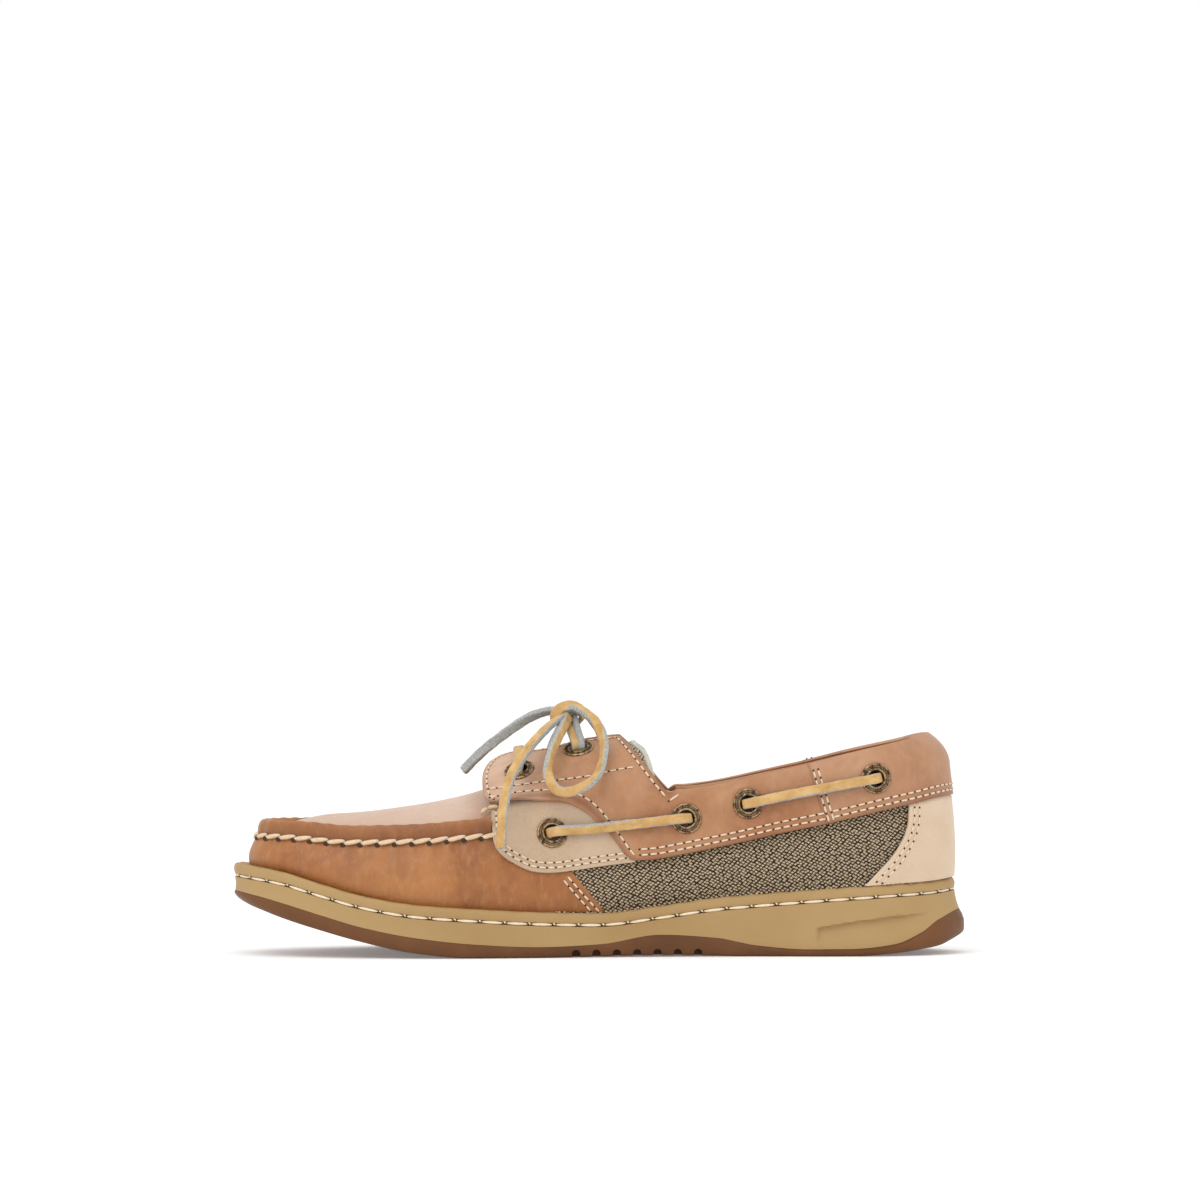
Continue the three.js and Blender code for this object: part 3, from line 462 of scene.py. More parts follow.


# Oiled leather: blotches, fine mottling, pores, a lengthwise crush, darker places that are partly a darker
# tone and partly painted shade, and paler places that are partly a paler tone and partly painted highlight
def makeLeather(name, look):
    material, tree, shader = startMaterial(name)
    plain = objectSpace(tree)
    crushed = objectSpace(tree, look["crushAlong"])
    blotch = ramp(tree, noise(tree, plain, look["blotchScale"], 3), 0.36, 0.64)
    mottle = ramp(tree, noise(tree, plain, look["mottleScale"], 4, 0.65), 0.3, 0.7)
    crush = noise(tree, crushed, look["crushScale"], 4, 0.6)
    color = mixed(tree, blotch, srgb(*look["deep"]), srgb(*look["light"]))
    color = mixed(tree, ramp(tree, mottle, 0, 1, 0, look["mottleShare"]), color, srgb(*look["warm"]))
    color = mixed(tree, ramp(tree, crush, 0.5, 0.72, 0, look["crushShare"]), color, srgb(*look["pulledAndHighlight"]))
    patch = ramp(tree, noise(tree, plain, look["patchScale"], 4, 0.6), 0.5, 0.72, 0, look["patchShare"])
    # Paler where a piece asks for it: painted highlight on the wall's pucker crests, a paler tone elsewhere
    color = mixed(tree, attributeOf(tree, "faded"), color, srgb(*look["pulledAndHighlight"]))
    color = mixed(tree, patch, color, srgb(*look["burntToneAndShade"]))
    # Darker where a piece asks for it: painted shade on the wall, ridge and apron, a darker tone along panel
    # edges
    color = mixed(tree, attributeOf(tree, "burnish"), color, srgb(*look["burntToneAndShade"]))
    tree.links.new(color, shader.inputs["Base Color"])
    rough = ramp(tree, mottle, 0, 1, look["rough"] - 0.06, look["rough"] + 0.07)
    tree.links.new(rough, shader.inputs["Roughness"])
    inputs = {"Vector": plain, "Scale": look["poreScale"]}
    pores = addNode(tree, "TexVoronoi", inputs, feature="DISTANCE_TO_EDGE")
    grain = ramp(tree, pores.outputs["Distance"], 0, 0.18)
    normal = bumped(tree, grain, look["poreDepth"], 0.6)
    normal = bumped(tree, crush, look["crushDepth"], 0.8, normal)
    normal = bumped(tree, mottle, look["waveDepth"], 0.7, normal)
    tree.links.new(normal, shader.inputs["Normal"])
    shader.inputs["Specular IOR Level"].default_value = 0.4
    return material


wallLook = {
    "deep": (142, 85, 44), "light": (170, 114, 66), "warm": (175, 111, 54), "pulledAndHighlight": (190, 144, 100),
    "burntToneAndShade": (104, 60, 34), "blotchScale": 30, "mottleScale": 240, "mottleShare": 0.55, "crushScale": 480,
    "crushAlong": (1, 1, 0.28), "crushShare": 0.32, "rough": 0.42, "poreScale": 1500,
    "poreDepth": 0.05 * mm, "crushDepth": 0.16 * mm, "patchScale": 55, "patchShare": 0.34,
    "waveDepth": 0.14 * mm,
}
quarterLook = {
    **wallLook, "deep": (152, 99, 62), "light": (192, 148, 111), "warm": (178, 122, 78),
    "pulledAndHighlight": (207, 172, 146), "burntToneAndShade": (118, 70, 42), "blotchScale": 26, "crushAlong": (1, 1, 0.6),
    "crushShare": 0.12, "crushDepth": 0.08 * mm, "rough": 0.36, "patchShare": 0.32,
}
apronLook = {
    **quarterLook, "deep": (197, 166, 143), "light": (208, 181, 161), "warm": (203, 169, 142),
    "pulledAndHighlight": (216, 194, 177), "burntToneAndShade": (158, 104, 72), "blotchScale": 22, "crushShare": 0.2,
    "crushDepth": 0.05 * mm, "patchShare": 0.1,
}
wallLeather = makeLeather("wall_leather", wallLook)
quarterLeather = makeLeather("quarter_leather", quarterLook)
apronLeather = makeLeather("apron_leather", apronLook)


# Brushed nubuck: matt, with a short nap
def makeNubuck(name, look):
    material, tree, shader = startMaterial(name)
    plain = objectSpace(tree)
    cloud = ramp(tree, noise(tree, plain, look["cloudScale"], 3), 0.35, 0.65)
    nap = noise(tree, plain, look["napScale"], 3, 0.7)
    color = mixed(tree, cloud, srgb(*look["deep"]), srgb(*look["light"]))
    color = mixed(tree, ramp(tree, nap, 0.35, 0.7, 0, look["napShare"]), color, srgb(*look["brushed"]))
    color = mixed(tree, attributeOf(tree, "burnish"), color, srgb(*look["burntToneAndShade"]))
    tree.links.new(color, shader.inputs["Base Color"])
    tree.links.new(bumped(tree, nap, look["napDepth"], 0.7), shader.inputs["Normal"])
    shader.inputs["Roughness"].default_value = look["rough"]
    shader.inputs["Specular IOR Level"].default_value = 0.2
    shader.inputs["Sheen Weight"].default_value = 0.25
    shader.inputs["Sheen Roughness"].default_value = 0.5
    return material


eyestayLook = {
    "deep": (180, 152, 124), "light": (192, 166, 139), "brushed": (202, 180, 156), "burntToneAndShade": (134, 100, 70),
    "cloudScale": 60, "napScale": 1400, "napShare": 0.5, "napDepth": 0.06 * mm, "rough": 0.85,
}
counterLook = {**eyestayLook, "deep": (203, 176, 148), "light": (212, 188, 161), "brushed": (218, 197, 172)}
eyestayNubuck = makeNubuck("eyestay_nubuck", eyestayLook)
counterNubuck = makeNubuck("counter_nubuck", counterLook)


# Rawhide lace: yellow grain side, blue-grey flesh side and edges
def makeRawhide(name, look):
    material, tree, shader = startMaterial(name)
    plain = objectSpace(tree)
    strand = addNode(tree, "UVMap").outputs["UV"]
    flesh = ramp(tree, attributeOf(tree, "flesh"), 0.35, 0.65)
    cloud = noise(tree, plain, look["cloudScale"], 4, 0.65)
    fibre = noise(tree, plain, look["fibreScale"], 4, 0.75)
    crack = addNode(tree, "Mapping", {"Vector": strand, "Scale": look["crackStretch"]}).outputs["Vector"]
    crack = noise(tree, crack, look["crackScale"], 3, 0.6)
    grain = mixed(tree, ramp(tree, cloud, 0.35, 0.65), srgb(*look["grainDeep"]), srgb(*look["grainLight"]))
    grain = mixed(tree, ramp(tree, crack, 0.3, 0.42, 0.35, 0), grain, srgb(*look["crackTone"]))
    suede = mixed(tree, ramp(tree, fibre, 0.35, 0.65), srgb(*look["fleshDeep"]), srgb(*look["fleshLight"]))
    color = mixed(tree, flesh, grain, suede)
    tree.links.new(color, shader.inputs["Base Color"])
    tree.links.new(ramp(tree, flesh, 0, 1, look["rough"], 0.95), shader.inputs["Roughness"])
    normal = bumped(tree, fibre, look["fibreDepth"], 0.8)
    tree.links.new(bumped(tree, crack, look["crackDepth"], 0.5, normal), shader.inputs["Normal"])
    shader.inputs["Specular IOR Level"].default_value = 0.3
    return material


rawhideLook = {
    "grainDeep": (186, 142, 84), "grainLight": (208, 172, 114), "crackTone": (140, 98, 54),
    "fleshDeep": (136, 139, 138), "fleshLight": (190, 193, 189), "cloudScale": 160, "fibreScale": 1500,
    "fibreDepth": 0.12 * mm, "crackStretch": (0.35, 1, 1), "crackScale": 900, "crackDepth": 0.06 * mm,
    "rough": 0.5,
}
rawhide = makeRawhide("rawhide", rawhideLook)


# Antique brass: brown patina in the hollows and painted shade down the bore, rubbed metal on the raised
# places
def makeBrass(name, look):
    material, tree, shader = startMaterial(name)
    plain = objectSpace(tree)
    patina = noise(tree, plain, look["patinaScale"], 4, 0.7)
    worn = ramp(tree, patina, 0.4, 0.56)
    color = mixed(tree, worn, srgb(*look["dark"]), srgb(*look["rubbed"]))
    color = mixed(tree, attributeOf(tree, "burnish"), color, srgb(*look["patinaAndBoreShade"]))
    tree.links.new(color, shader.inputs["Base Color"])
    shader.inputs["Metallic"].default_value = 0.9
    tree.links.new(ramp(tree, worn, 0, 1, 0.5, 0.3), shader.inputs["Roughness"])
    tree.links.new(bumped(tree, patina, look["pitDepth"], 0.6), shader.inputs["Normal"])
    return material


brassLook = {
    "dark": (86, 62, 42), "rubbed": (182, 152, 116), "patinaAndBoreShade": (38, 26, 18), "patinaScale": 700,
    "pitDepth": 0.08 * mm,
}
brass = makeBrass("antique_brass", brassLook)


# Waxed thread
def makeThread(name, look):
    material, tree, shader = startMaterial(name)
    plain = objectSpace(tree)
    fuzz = noise(tree, plain, look["twistScale"], 3, 0.6)
    color = mixed(tree, ramp(tree, fuzz, 0.3, 0.7), srgb(*look["deep"]), srgb(*look["light"]))
    tree.links.new(color, shader.inputs["Base Color"])
    tree.links.new(bumped(tree, fuzz, look["twistDepth"], 0.8), shader.inputs["Normal"])
    shader.inputs["Roughness"].default_value = 0.75
    shader.inputs["Specular IOR Level"].default_value = 0.25
    return material


# Painted shade: a dark spot for the shade in the hole where a needle went through
def makeHoleShade(name, tone):
    material, tree, shader = startMaterial(name)
    plain = objectSpace(tree)
    shade = mixed(tree, noise(tree, plain, 800), srgb(*tone), srgb(*[c * 0.5 for c in tone]))
    tree.links.new(shade, shader.inputs["Base Color"])
    shader.inputs["Roughness"].default_value = 0.9
    return material


seamThreadLook = {
    "deep": (206, 178, 146), "light": (240, 222, 198), "twistScale": 2600, "twistDepth": 0.05 * mm,
}
whipThreadLook = {
    "deep": (206, 176, 140), "light": (230, 208, 178), "twistScale": 1400, "twistDepth": 0.08 * mm,
}
weltThreadLook = {
    "deep": (222, 200, 166), "light": (244, 228, 202), "twistScale": 2000, "twistDepth": 0.05 * mm,
}
seamThread = makeThread("seam_thread", seamThreadLook)
whipThread = makeThread("whip_thread", whipThreadLook)
weltThread = makeThread("welt_thread", weltThreadLook)
needleHoleShade = makeHoleShade("needle_hole_shade", (78, 50, 34))
print("materials mixed")


# Laces. The routes are those of the solids, in millimetres.
laceSize = {
    "width": 3.6 * mm, "thickness": 2.2 * mm, "square": 4.5, "sides": 20, "step": 0.9 * mm,
    "grainFrom": 0.55, "wobble": (0.035, 0.02), "caps": [(0.86, 0.22 * mm), (0.5, 0.28 * mm), (0, 0.28 * mm)],
}


# Flat strip swept along a route. facing gives the way that its grain side looks, from start to end.
def laceStrip(name, route, facing, width=None, thickness=None):
    width = width or laceSize["width"]
    thickness = thickness or laceSize["thickness"]
    length = lineLength(smoothLine(route, 200))
    steps = max(8, round(length / laceSize["step"]))
    line = smoothLine(route, steps + 1)
    tangent = unit(np.gradient(line, axis=0))
    facing = np.asarray(facing, float)
    places = np.linspace(0, 1, len(facing))
    share = np.linspace(0, 1, steps + 1)
    grain = np.stack([np.interp(share, places, facing[:, k]) for k in range(3)], -1)
    grain = unit(grain - (grain * tangent).sum(-1, keepdims=True) * tangent)
    side = np.cross(tangent, grain)
    around = np.linspace(0, 2 * math.pi, laceSize["sides"] + 1) + math.pi / laceSize["sides"]
    power = 2 / laceSize["square"]
    across = np.sign(np.cos(around)) * np.abs(np.cos(around)) ** power * width / 2
    deep = np.sign(np.sin(around)) * np.abs(np.sin(around)) ** power * thickness / 2
    fleshy = np.where(np.sin(around) > laceSize["grainFrom"], 0.0, 1.0)

    def section(index, widen=1.0):
        return np.outer(across * widen, side[index]) + np.outer(deep, grain[index])

    rings, flesh = [], []
    slow, quick = laceSize["wobble"]
    for index in range(steps + 1):
        wobble = 1 + slow * math.sin(index * 0.9) + quick * math.sin(index * 2.3 + 1)
        rings.append(line[index] + section(index, wobble))
        flesh.append(fleshy)
    for shrink, push in laceSize["caps"]:
        rings.insert(0, line[0] - tangent[0] * push + shrink * section(0))
        rings.append(line[-1] + tangent[-1] * push + shrink * section(-1))
        flesh = [np.ones_like(fleshy), *flesh, np.ones_like(fleshy)]
    walk = np.linspace(0, length, len(rings))
    girth = np.linspace(0, 2 * (width + thickness), len(around))
    tile = np.stack(np.broadcast_arrays(walk[:, None], girth), -1)
    piece = mouldedGrid(name, np.array(rings), tile, flesh=np.array(flesh))
    sew(piece)
    return piece, line


def finishLace(piece, node):
    finishPiece(piece, "rawhide", rawhide, stands=[node], degrees=70)


nearLoopRoute = [
    (-81, -1, 88), (-78.4, -5, 89), (-72.5, -11, 85), (-68.9, -19, 78.3), (-68.9, -28, 70.9),
    (-71.9, -35, 64.2), (-79.3, -38, 59.8), (-85.5, -38, 60.2), (-88.7, -34.5, 66), (-87.4, -27, 73.5),
    (-84.4, -17, 79.9), (-81.5, -3, 85.5),
]
farLoopRoute = [
    (-81, 6, 88), (-78, 11, 88.5), (-73, 19, 84.5), (-69.5, 28, 78.5), (-69, 37, 71.5), (-72, 44.5, 65),
    (-79, 48.5, 60), (-86, 48.5, 61), (-89, 45, 66.5), (-88, 37.5, 73.5), (-85, 27, 80), (-82, 9, 86),
]
nearEndRoute = [
    (-82, 0, 86.5), (-85, -7, 85), (-90, -17, 81), (-96.3, -28, 74), (-101.6, -36, 65.5), (-104, -42, 57),
    (-104.9, -46, 48), (-105.4, -48, 39.8),
]
farEndRoute = [
    (-82, 4, 87.5), (-87.5, 7, 87.8), (-94, 9, 86), (-100, 11, 82.6), (-109, 14, 76), (-115, 16, 70.8),
    (-120, 18, 65.6),
]
tiedLaces = {
    "lace_loop_near": (nearLoopRoute, "knot", [
        (0.2, -0.3, 1), (0.5, -0.6, 0.5), (-0.6, -0.75, 0.1), (-0.75, -0.6, 0.1), (-0.55, -0.6, 0.6),
        (-0.2, -0.9, -0.2), (0.5, -0.8, -0.4), (0.9, -0.5, 0.1), (0.85, -0.5, 0.2), (0.6, -0.7, 0.3),
    ]),
    "lace_loop_far": (farLoopRoute, "knot", [
        (0.2, 0.3, 1), (0.5, 0.6, 0.5), (-0.6, 0.75, 0.1), (-0.75, 0.6, 0.1), (-0.55, 0.6, 0.6),
        (-0.2, 0.9, -0.2), (0.5, 0.8, -0.4), (0.9, 0.5, 0.1), (0.85, 0.5, 0.2), (0.6, 0.7, 0.3),
    ]),
    "lace_end_near": (nearEndRoute, "bare", [
        (-0.5, -0.5, 0.7), (-0.5, -0.75, 0.45), (-0.45, -0.85, 0.2), (-0.45, -0.9, 0), (-0.4, -0.92, 0),
        (-0.3, -0.95, 0),
    ]),
    "lace_end_far": (farEndRoute, "bare", [
        (0, 0.2, 1), (-0.1, 0.6, 0.8), (0, 0.9, 0.5), (0.1, 1, 0.3), (0.35, 0.9, -0.3), (0.5, 0.8, -0.4),
    ]),
}
knotCentre = np.array([-81.4, 2.5, 86.6]) * mm


def makeTiedLaces():
    for name, (route, farEnd, facing) in tiedLaces.items():
        piece, line = laceStrip(name, np.array(route) * mm, facing)
        finishLace(piece, "lace_bow")
        print(name, round(lineLength(line) / mm), "mm")


makeTiedLaces()


# Rise at which the last reaches a height, which may depend on x
def riseAtHeight(turn, heightOf, lifted=False):
    low, high = np.full(turn.shape, -0.1), np.full(turn.shape, 1.97)
    for _ in range(26):
        middle = (low + high) / 2
        point = lastPoint(turn, middle, lifted)
        under = point[..., 2] < heightOf(point[..., 0])
        low, high = np.where(under, middle, low), np.where(under, high, middle)
    return (low + high) / 2


# Turn and rise over a four-sided field. Its sides are lines of turn and rise, left to right and
# bottom to top.
def field(bottom, top, left, right):
    u = np.linspace(0, 1, len(bottom))[None, :, None]
    v = np.linspace(0, 1, len(left))[:, None, None]
    ruled = (1 - v) * bottom[None] + v * top[None] + (1 - u) * left[:, None] + u * right[:, None]
    corners = (
        (1 - u) * (1 - v) * bottom[0] + u * (1 - v) * bottom[-1] + (1 - u) * v * top[0] + u * v * top[-1]
    )
    return ruled - corners


# The same between two lines only
def ruledField(bottom, top, rows):
    v = np.linspace(0, 1, rows + 1)[:, None, None]
    return (1 - v) * bottom[None] + v * top[None]


def straight(start, end, count):
    return start + (end - start) * np.linspace(0, 1, count)[:, None]


# Turns spread round the shoe, closer together at toe and heel
def turnsAround(count):
    half = np.linspace(0, 2, count + 1)
    return (half - 0.45 * np.sin(2 * math.pi * half) / (2 * math.pi)) / 2


# Distance from points to a line, in metres
def distanceTo(points, line):
    flat = points.reshape(-1, 3)
    best = np.full(len(flat), 1e9)
    for start, end in zip(line[:-1], line[1:]):
        along = end - start
        t = np.clip(((flat - start) @ along) / max(along @ along, 1e-12), 0, 1)
        best = np.minimum(best, np.linalg.norm(flat - start - t[:, None] * along, axis=1))
    return best.reshape(points.shape[:-1])


# Soft troughs with a low ridge on each side, along listed lines
def creased(points, creases, side):
    moved = np.zeros(points.shape[:-1])
    for crease in creases:
        line = smoothLine(np.array(crease["line"]) * mm, 14)
        spots = sideSpot(side, line)
        away = distanceTo(points, lastPoint(spots[:, 0], spots[:, 1])) / (crease["width"] * mm)
        trough = np.exp(-(away**2))
        banks = np.exp(-((away - 1.7) ** 2) * 1.6)
        moved += crease["depth"] * mm * (0.45 * banks - trough)
    return moved


# Sole
def soleRing(turn, inset, flareShare, height):
    edge = planPoint(turn, np.zeros(turn.shape))
    place = planPoint(turn, inset * mm + flareShare * flareAt(edge[..., 0]))
    return np.concatenate([place, height(place[..., 0])[..., None]], -1)


def towardSpine(turn, ring, share, height):
    place = ring[..., :2] + (spinePoint(turn) - ring[..., :2]) * share
    return np.concatenate([place, height(place[..., 0])[..., None]], -1)


outsoleLook = {"columns": 520, "bevel": 1.4 * mm}


def makeOutsole():
    turn = turnsAround(outsoleLook["columns"])

    def tread(x):
        return soleAt("tread", x)

    def top(x):
        return soleAt("split", x) - 0.05 * mm

    def between(share):
        return lambda x: bevelTop(x) + (top(x) - bevelTop(x)) * share

    def bevelTop(x):
        return np.minimum(tread(x) + outsoleLook["bevel"], (tread(x) + top(x)) / 2)

    def low(share):
        return lambda x: tread(x) + (bevelTop(x) - tread(x)) * share

    edge = soleRing(turn, outsoleLook["bevel"] / mm + 1, 0, tread)
    rings = [towardSpine(turn, edge, share, tread) for share in (1, 0.8, 0.6, 0.4, 0.2, 0.08)]
    rings += [edge, soleRing(turn, 1.55, 0, low(0.25)), soleRing(turn, 0.9, 0, low(0.62))]
    rings += [soleRing(turn, 0.5, 0, bevelTop), soleRing(turn, 0.22, 0.04, between(0.2))]
    rings += [soleRing(turn, 0.05, 0.1, between(0.5)), soleRing(turn, 0.12, 0.25, between(0.75))]
    rings += [soleRing(turn, 0.4, 0.43, top)]
    rim = rings[-1]
    rings += [towardSpine(turn, rim, share, top) for share in (0.3, 0.65, 1)]
    piece = mouldedGrid("outsole_rubber", np.array(rings))
    sew(piece)
    return piece


def notchOutline(x, radius, rise):
    angles = np.linspace(math.pi, 0, 9)
    arch = [(x + radius * math.cos(a), rise + radius * math.sin(a)) for a in angles]
    return [(x - radius, -2 * mm), *arch, (x + radius, -2 * mm)]


# Straight-sided plug across the shoe, cut out of another piece
def makeCutter(outlines, reaches):
    made = []
    for outline, (start, end) in zip(outlines, reaches):
        mesh = bpy.data.meshes.new("cutter")
        count = len(outline)
        near = [(x, start, z) for x, z in outline]
        far = [(x, end, z) for x, z in outline]
        sides = [(k, (k + 1) % count, (k + 1) % count + count, k + count) for k in range(count)]
        mesh.from_pydata(near + far, [], [tuple(range(count))[::-1], tuple(range(count, 2 * count)), *sides])
        piece = bpy.data.objects.new("cutter", mesh)
        bpy.context.scene.collection.objects.link(piece)
        made.append(piece)
    return joinPieces("cutter", made)


def cutAway(piece, cutter, keep=False):
    modify(piece, "BOOLEAN", object=cutter, operation="DIFFERENCE", solver="EXACT")
    if not keep:
        bpy.data.objects.remove(cutter)


archNotches = {
    "first": 0.467, "count": 7, "pitch": 7.3 * mm, "radius": 1.5 * mm, "rise": 1.4 * mm, "deep": 6 * mm
}
forefootSipes = {
    "first": 0.236, "count": 3, "pitch": 12.9 * mm, "depth": 2.8 * mm, "width": 2.2 * mm, "slant": 2.4 * mm,
    "reach": 80 * mm,
}


def cutTread(piece):
    outlines, reaches = [], []
    own = np.linspace(0.02, 0.48, 200)
    for index in range(archNotches["count"]):
        x = float(alongX(archNotches["first"])) + index * archNotches["pitch"]
        for turn in (own, 1 - own):
            edge = soleRing(turn, 0, 0, lambda place: soleAt("tread", place))
            side = float(np.interp(x, edge[:, 0], edge[:, 1]))
            outlines.append(notchOutline(x, archNotches["radius"], archNotches["rise"]))
            reaches.append(sorted((side - np.sign(side) * archNotches["deep"], side * 1.5)))
    for index in range(forefootSipes["count"]):
        x = float(alongX(forefootSipes["first"])) + index * forefootSipes["pitch"]
        floor, half = float(soleAt("tread", x)), forefootSipes["width"] / 2
        slant = forefootSipes["slant"]
        outlines.append([
            (x - half + slant, floor - 2 * mm), (x + half + slant, floor - 2 * mm),
            (x, floor + forefootSipes["depth"]),
        ])
        reaches.append((-forefootSipes["reach"], forefootSipes["reach"]))
    cutAway(piece, makeCutter(outlines, reaches))


# Rows of the lip and the groove: inset, share of the heel's flare and drop, the lengths in millimetres
midsoleLook = {
    "columns": 680, "wallRows": 34, "wallTop": 4.95, "wave": 0.16 * mm, "stitchPitch": 9 * mm,
    "lip": [(1.8, 1, 0), (1.15, 1, 0.06), (0.6, 1, 0.35), (0.25, 0.98, 0.8), (0.05, 0.95, 1.4),
            (0, 0.9, 2.1), (0.03, 0.88, 2.8), (0.15, 0.86, 3.3), (0.32, 0.85, 3.6)],
    "groove": [(0.75, 0.85, 3.72), (1.2, 0.85, 3.95), (1.3, 0.85, 4.2), (1.2, 0.84, 4.45), (0.8, 0.83, 4.68)],
    "wedge": [(10.4, 10.6), (50.9, 15.5)], "wedgeDepth": 1.7 * mm,
}


def weltWalk(turn):
    ring = soleRing(turn, 0, 0.9, lambda x: soleAt("welt", x))
    return walkAlong(ring)


def weltStitchCount():
    return round(weltWalk(turnsAround(midsoleLook["columns"]))[-1] / midsoleLook["stitchPitch"])


# How deep the wedge in the heel's wall cuts at each point
def wedgeDepth(points):
    (x0, z0), (x1, z1) = np.array(midsoleLook["wedge"]) * mm
    x, z = points[..., 0], points[..., 2]
    arch = np.sin(np.clip((x - x0) / (x1 - x0), 0, 1) * math.pi)
    line = z0 + (z1 - z0) * (x - x0) / (x1 - x0) + 0.6 * mm * arch
    below = (line - z) / mm
    start = x0 - 2.2 * mm + 2.4 * mm * np.clip((below - 3) / 7, 0, 1) ** 2
    depth = smoothStep(0, 0.35, below) * np.clip(1 - below / 10.5, 0, 1) ** 0.8
    depth *= smoothStep(0, 0.9 * mm, x - start) * (1 - smoothStep(x1 - 14 * mm, x1, x))
    return depth * midsoleLook["wedgeDepth"]


def makeMidsole():
    turn = turnsAround(midsoleLook["columns"])
    walk = weltWalk(turn)
    wave = np.cos(2 * math.pi * walk / walk[-1] * weltStitchCount())

    def under(drop):
        return lambda x: soleAt("welt", x) - drop * mm

    rings, shadeInGroove = [], []
    for inset, flareShare, drop in midsoleLook["lip"]:
        share = smoothStep(0, 1, min(1, (4.2 - drop) / 2.6))
        ring = soleRing(turn, inset - 0.13 * wave * share, flareShare, under(drop))
        ring[:, 2] += midsoleLook["wave"] * wave * share * 0.6
        rings.append(ring)
        shadeInGroove.append(0.0)
    # The groove's rows carry painted shade
    for inset, flareShare, drop in midsoleLook["groove"]:
        rings.append(soleRing(turn, inset, flareShare, under(drop)))
        shadeInGroove.append(1.0)
    for share in np.linspace(0, 1, midsoleLook["wallRows"] + 1):
        def height(x, share=share):
            top = soleAt("welt", x) - midsoleLook["wallTop"] * mm
            return top + (soleAt("split", x) + 0.05 * mm - top) * share
        inset = 0.28 + 0.12 * share + 0.22 * math.sin(math.pi * share)
        ring = soleRing(turn, inset, 0.83 - 0.4 * share, height)
        inward = unit(spinePoint(turn) - ring[:, :2])
        ring[:, :2] += inward * wedgeDepth(ring)[:, None]
        rings.append(ring)
        shadeInGroove.append(0.0)
    top = rings[0]
    welt = under(0)
    inner = [towardSpine(turn, top, share, welt) for share in (1, 0.7, 0.4, 0.15, 0.06)]
    foot = rings[-1]

    def floor(x):
        return soleAt("split", x) + 0.05 * mm

    closing = [towardSpine(turn, foot, share, floor) for share in (0.3, 0.65, 1)]
    points = np.array(inner + rings + closing)[::-1]
    dirt = np.array([0.0] * len(inner) + shadeInGroove + [0.0] * len(closing))[::-1]
    piece = mouldedGrid("midsole_rubber", points, dirt=dirt[:, None])
    sew(piece)
    return piece


# Rubber: faint clouds, fine specks and painted shade in the groove
def makeRubber(name, look):
    material, tree, shader = startMaterial(name)
    plain = objectSpace(tree)
    cloud = ramp(tree, noise(tree, plain, look["cloudScale"], 3), 0.35, 0.65)
    color = mixed(tree, cloud, srgb(*look["deep"]), srgb(*look["light"]))
    color = mixed(tree, attributeOf(tree, "dirt"), color, srgb(*look["shadeInGroove"]))
    tree.links.new(color, shader.inputs["Base Color"])
    speck = noise(tree, plain, look["speckScale"], 3, 0.7)
    tree.links.new(bumped(tree, speck, look["speckDepth"], 0.5), shader.inputs["Normal"])
    rough = ramp(tree, speck, 0.3, 0.7, look["rough"] - 0.05, look["rough"] + 0.08)
    tree.links.new(rough, shader.inputs["Roughness"])
    shader.inputs["Specular IOR Level"].default_value = look["shine"]
    return material


gumLook = {
    "deep": (93, 57, 29), "light": (111, 70, 37), "shadeInGroove": (60, 38, 26), "cloudScale": 30,
    "speckScale": 700, "speckDepth": 0.05 * mm, "rough": 0.5, "shine": 0.28,
}
tanLook = {
    "deep": (165, 133, 86), "light": (173, 142, 95), "shadeInGroove": (84, 60, 34), "cloudScale": 24,
    "speckScale": 900, "speckDepth": 0.03 * mm, "rough": 0.55, "shine": 0.3,
}
gumRubber = makeRubber("gum_rubber", gumLook)
tanRubber = makeRubber("tan_rubber", tanLook)

outsole = makeOutsole()
cutTread(outsole)
finishPiece(outsole, "outsole_rubber", gumRubber, stands=["outsole"], degrees=35)
finishPiece(makeMidsole(), "midsole_rubber", tanRubber, stands=["midsole"], degrees=60)
print("sole made")


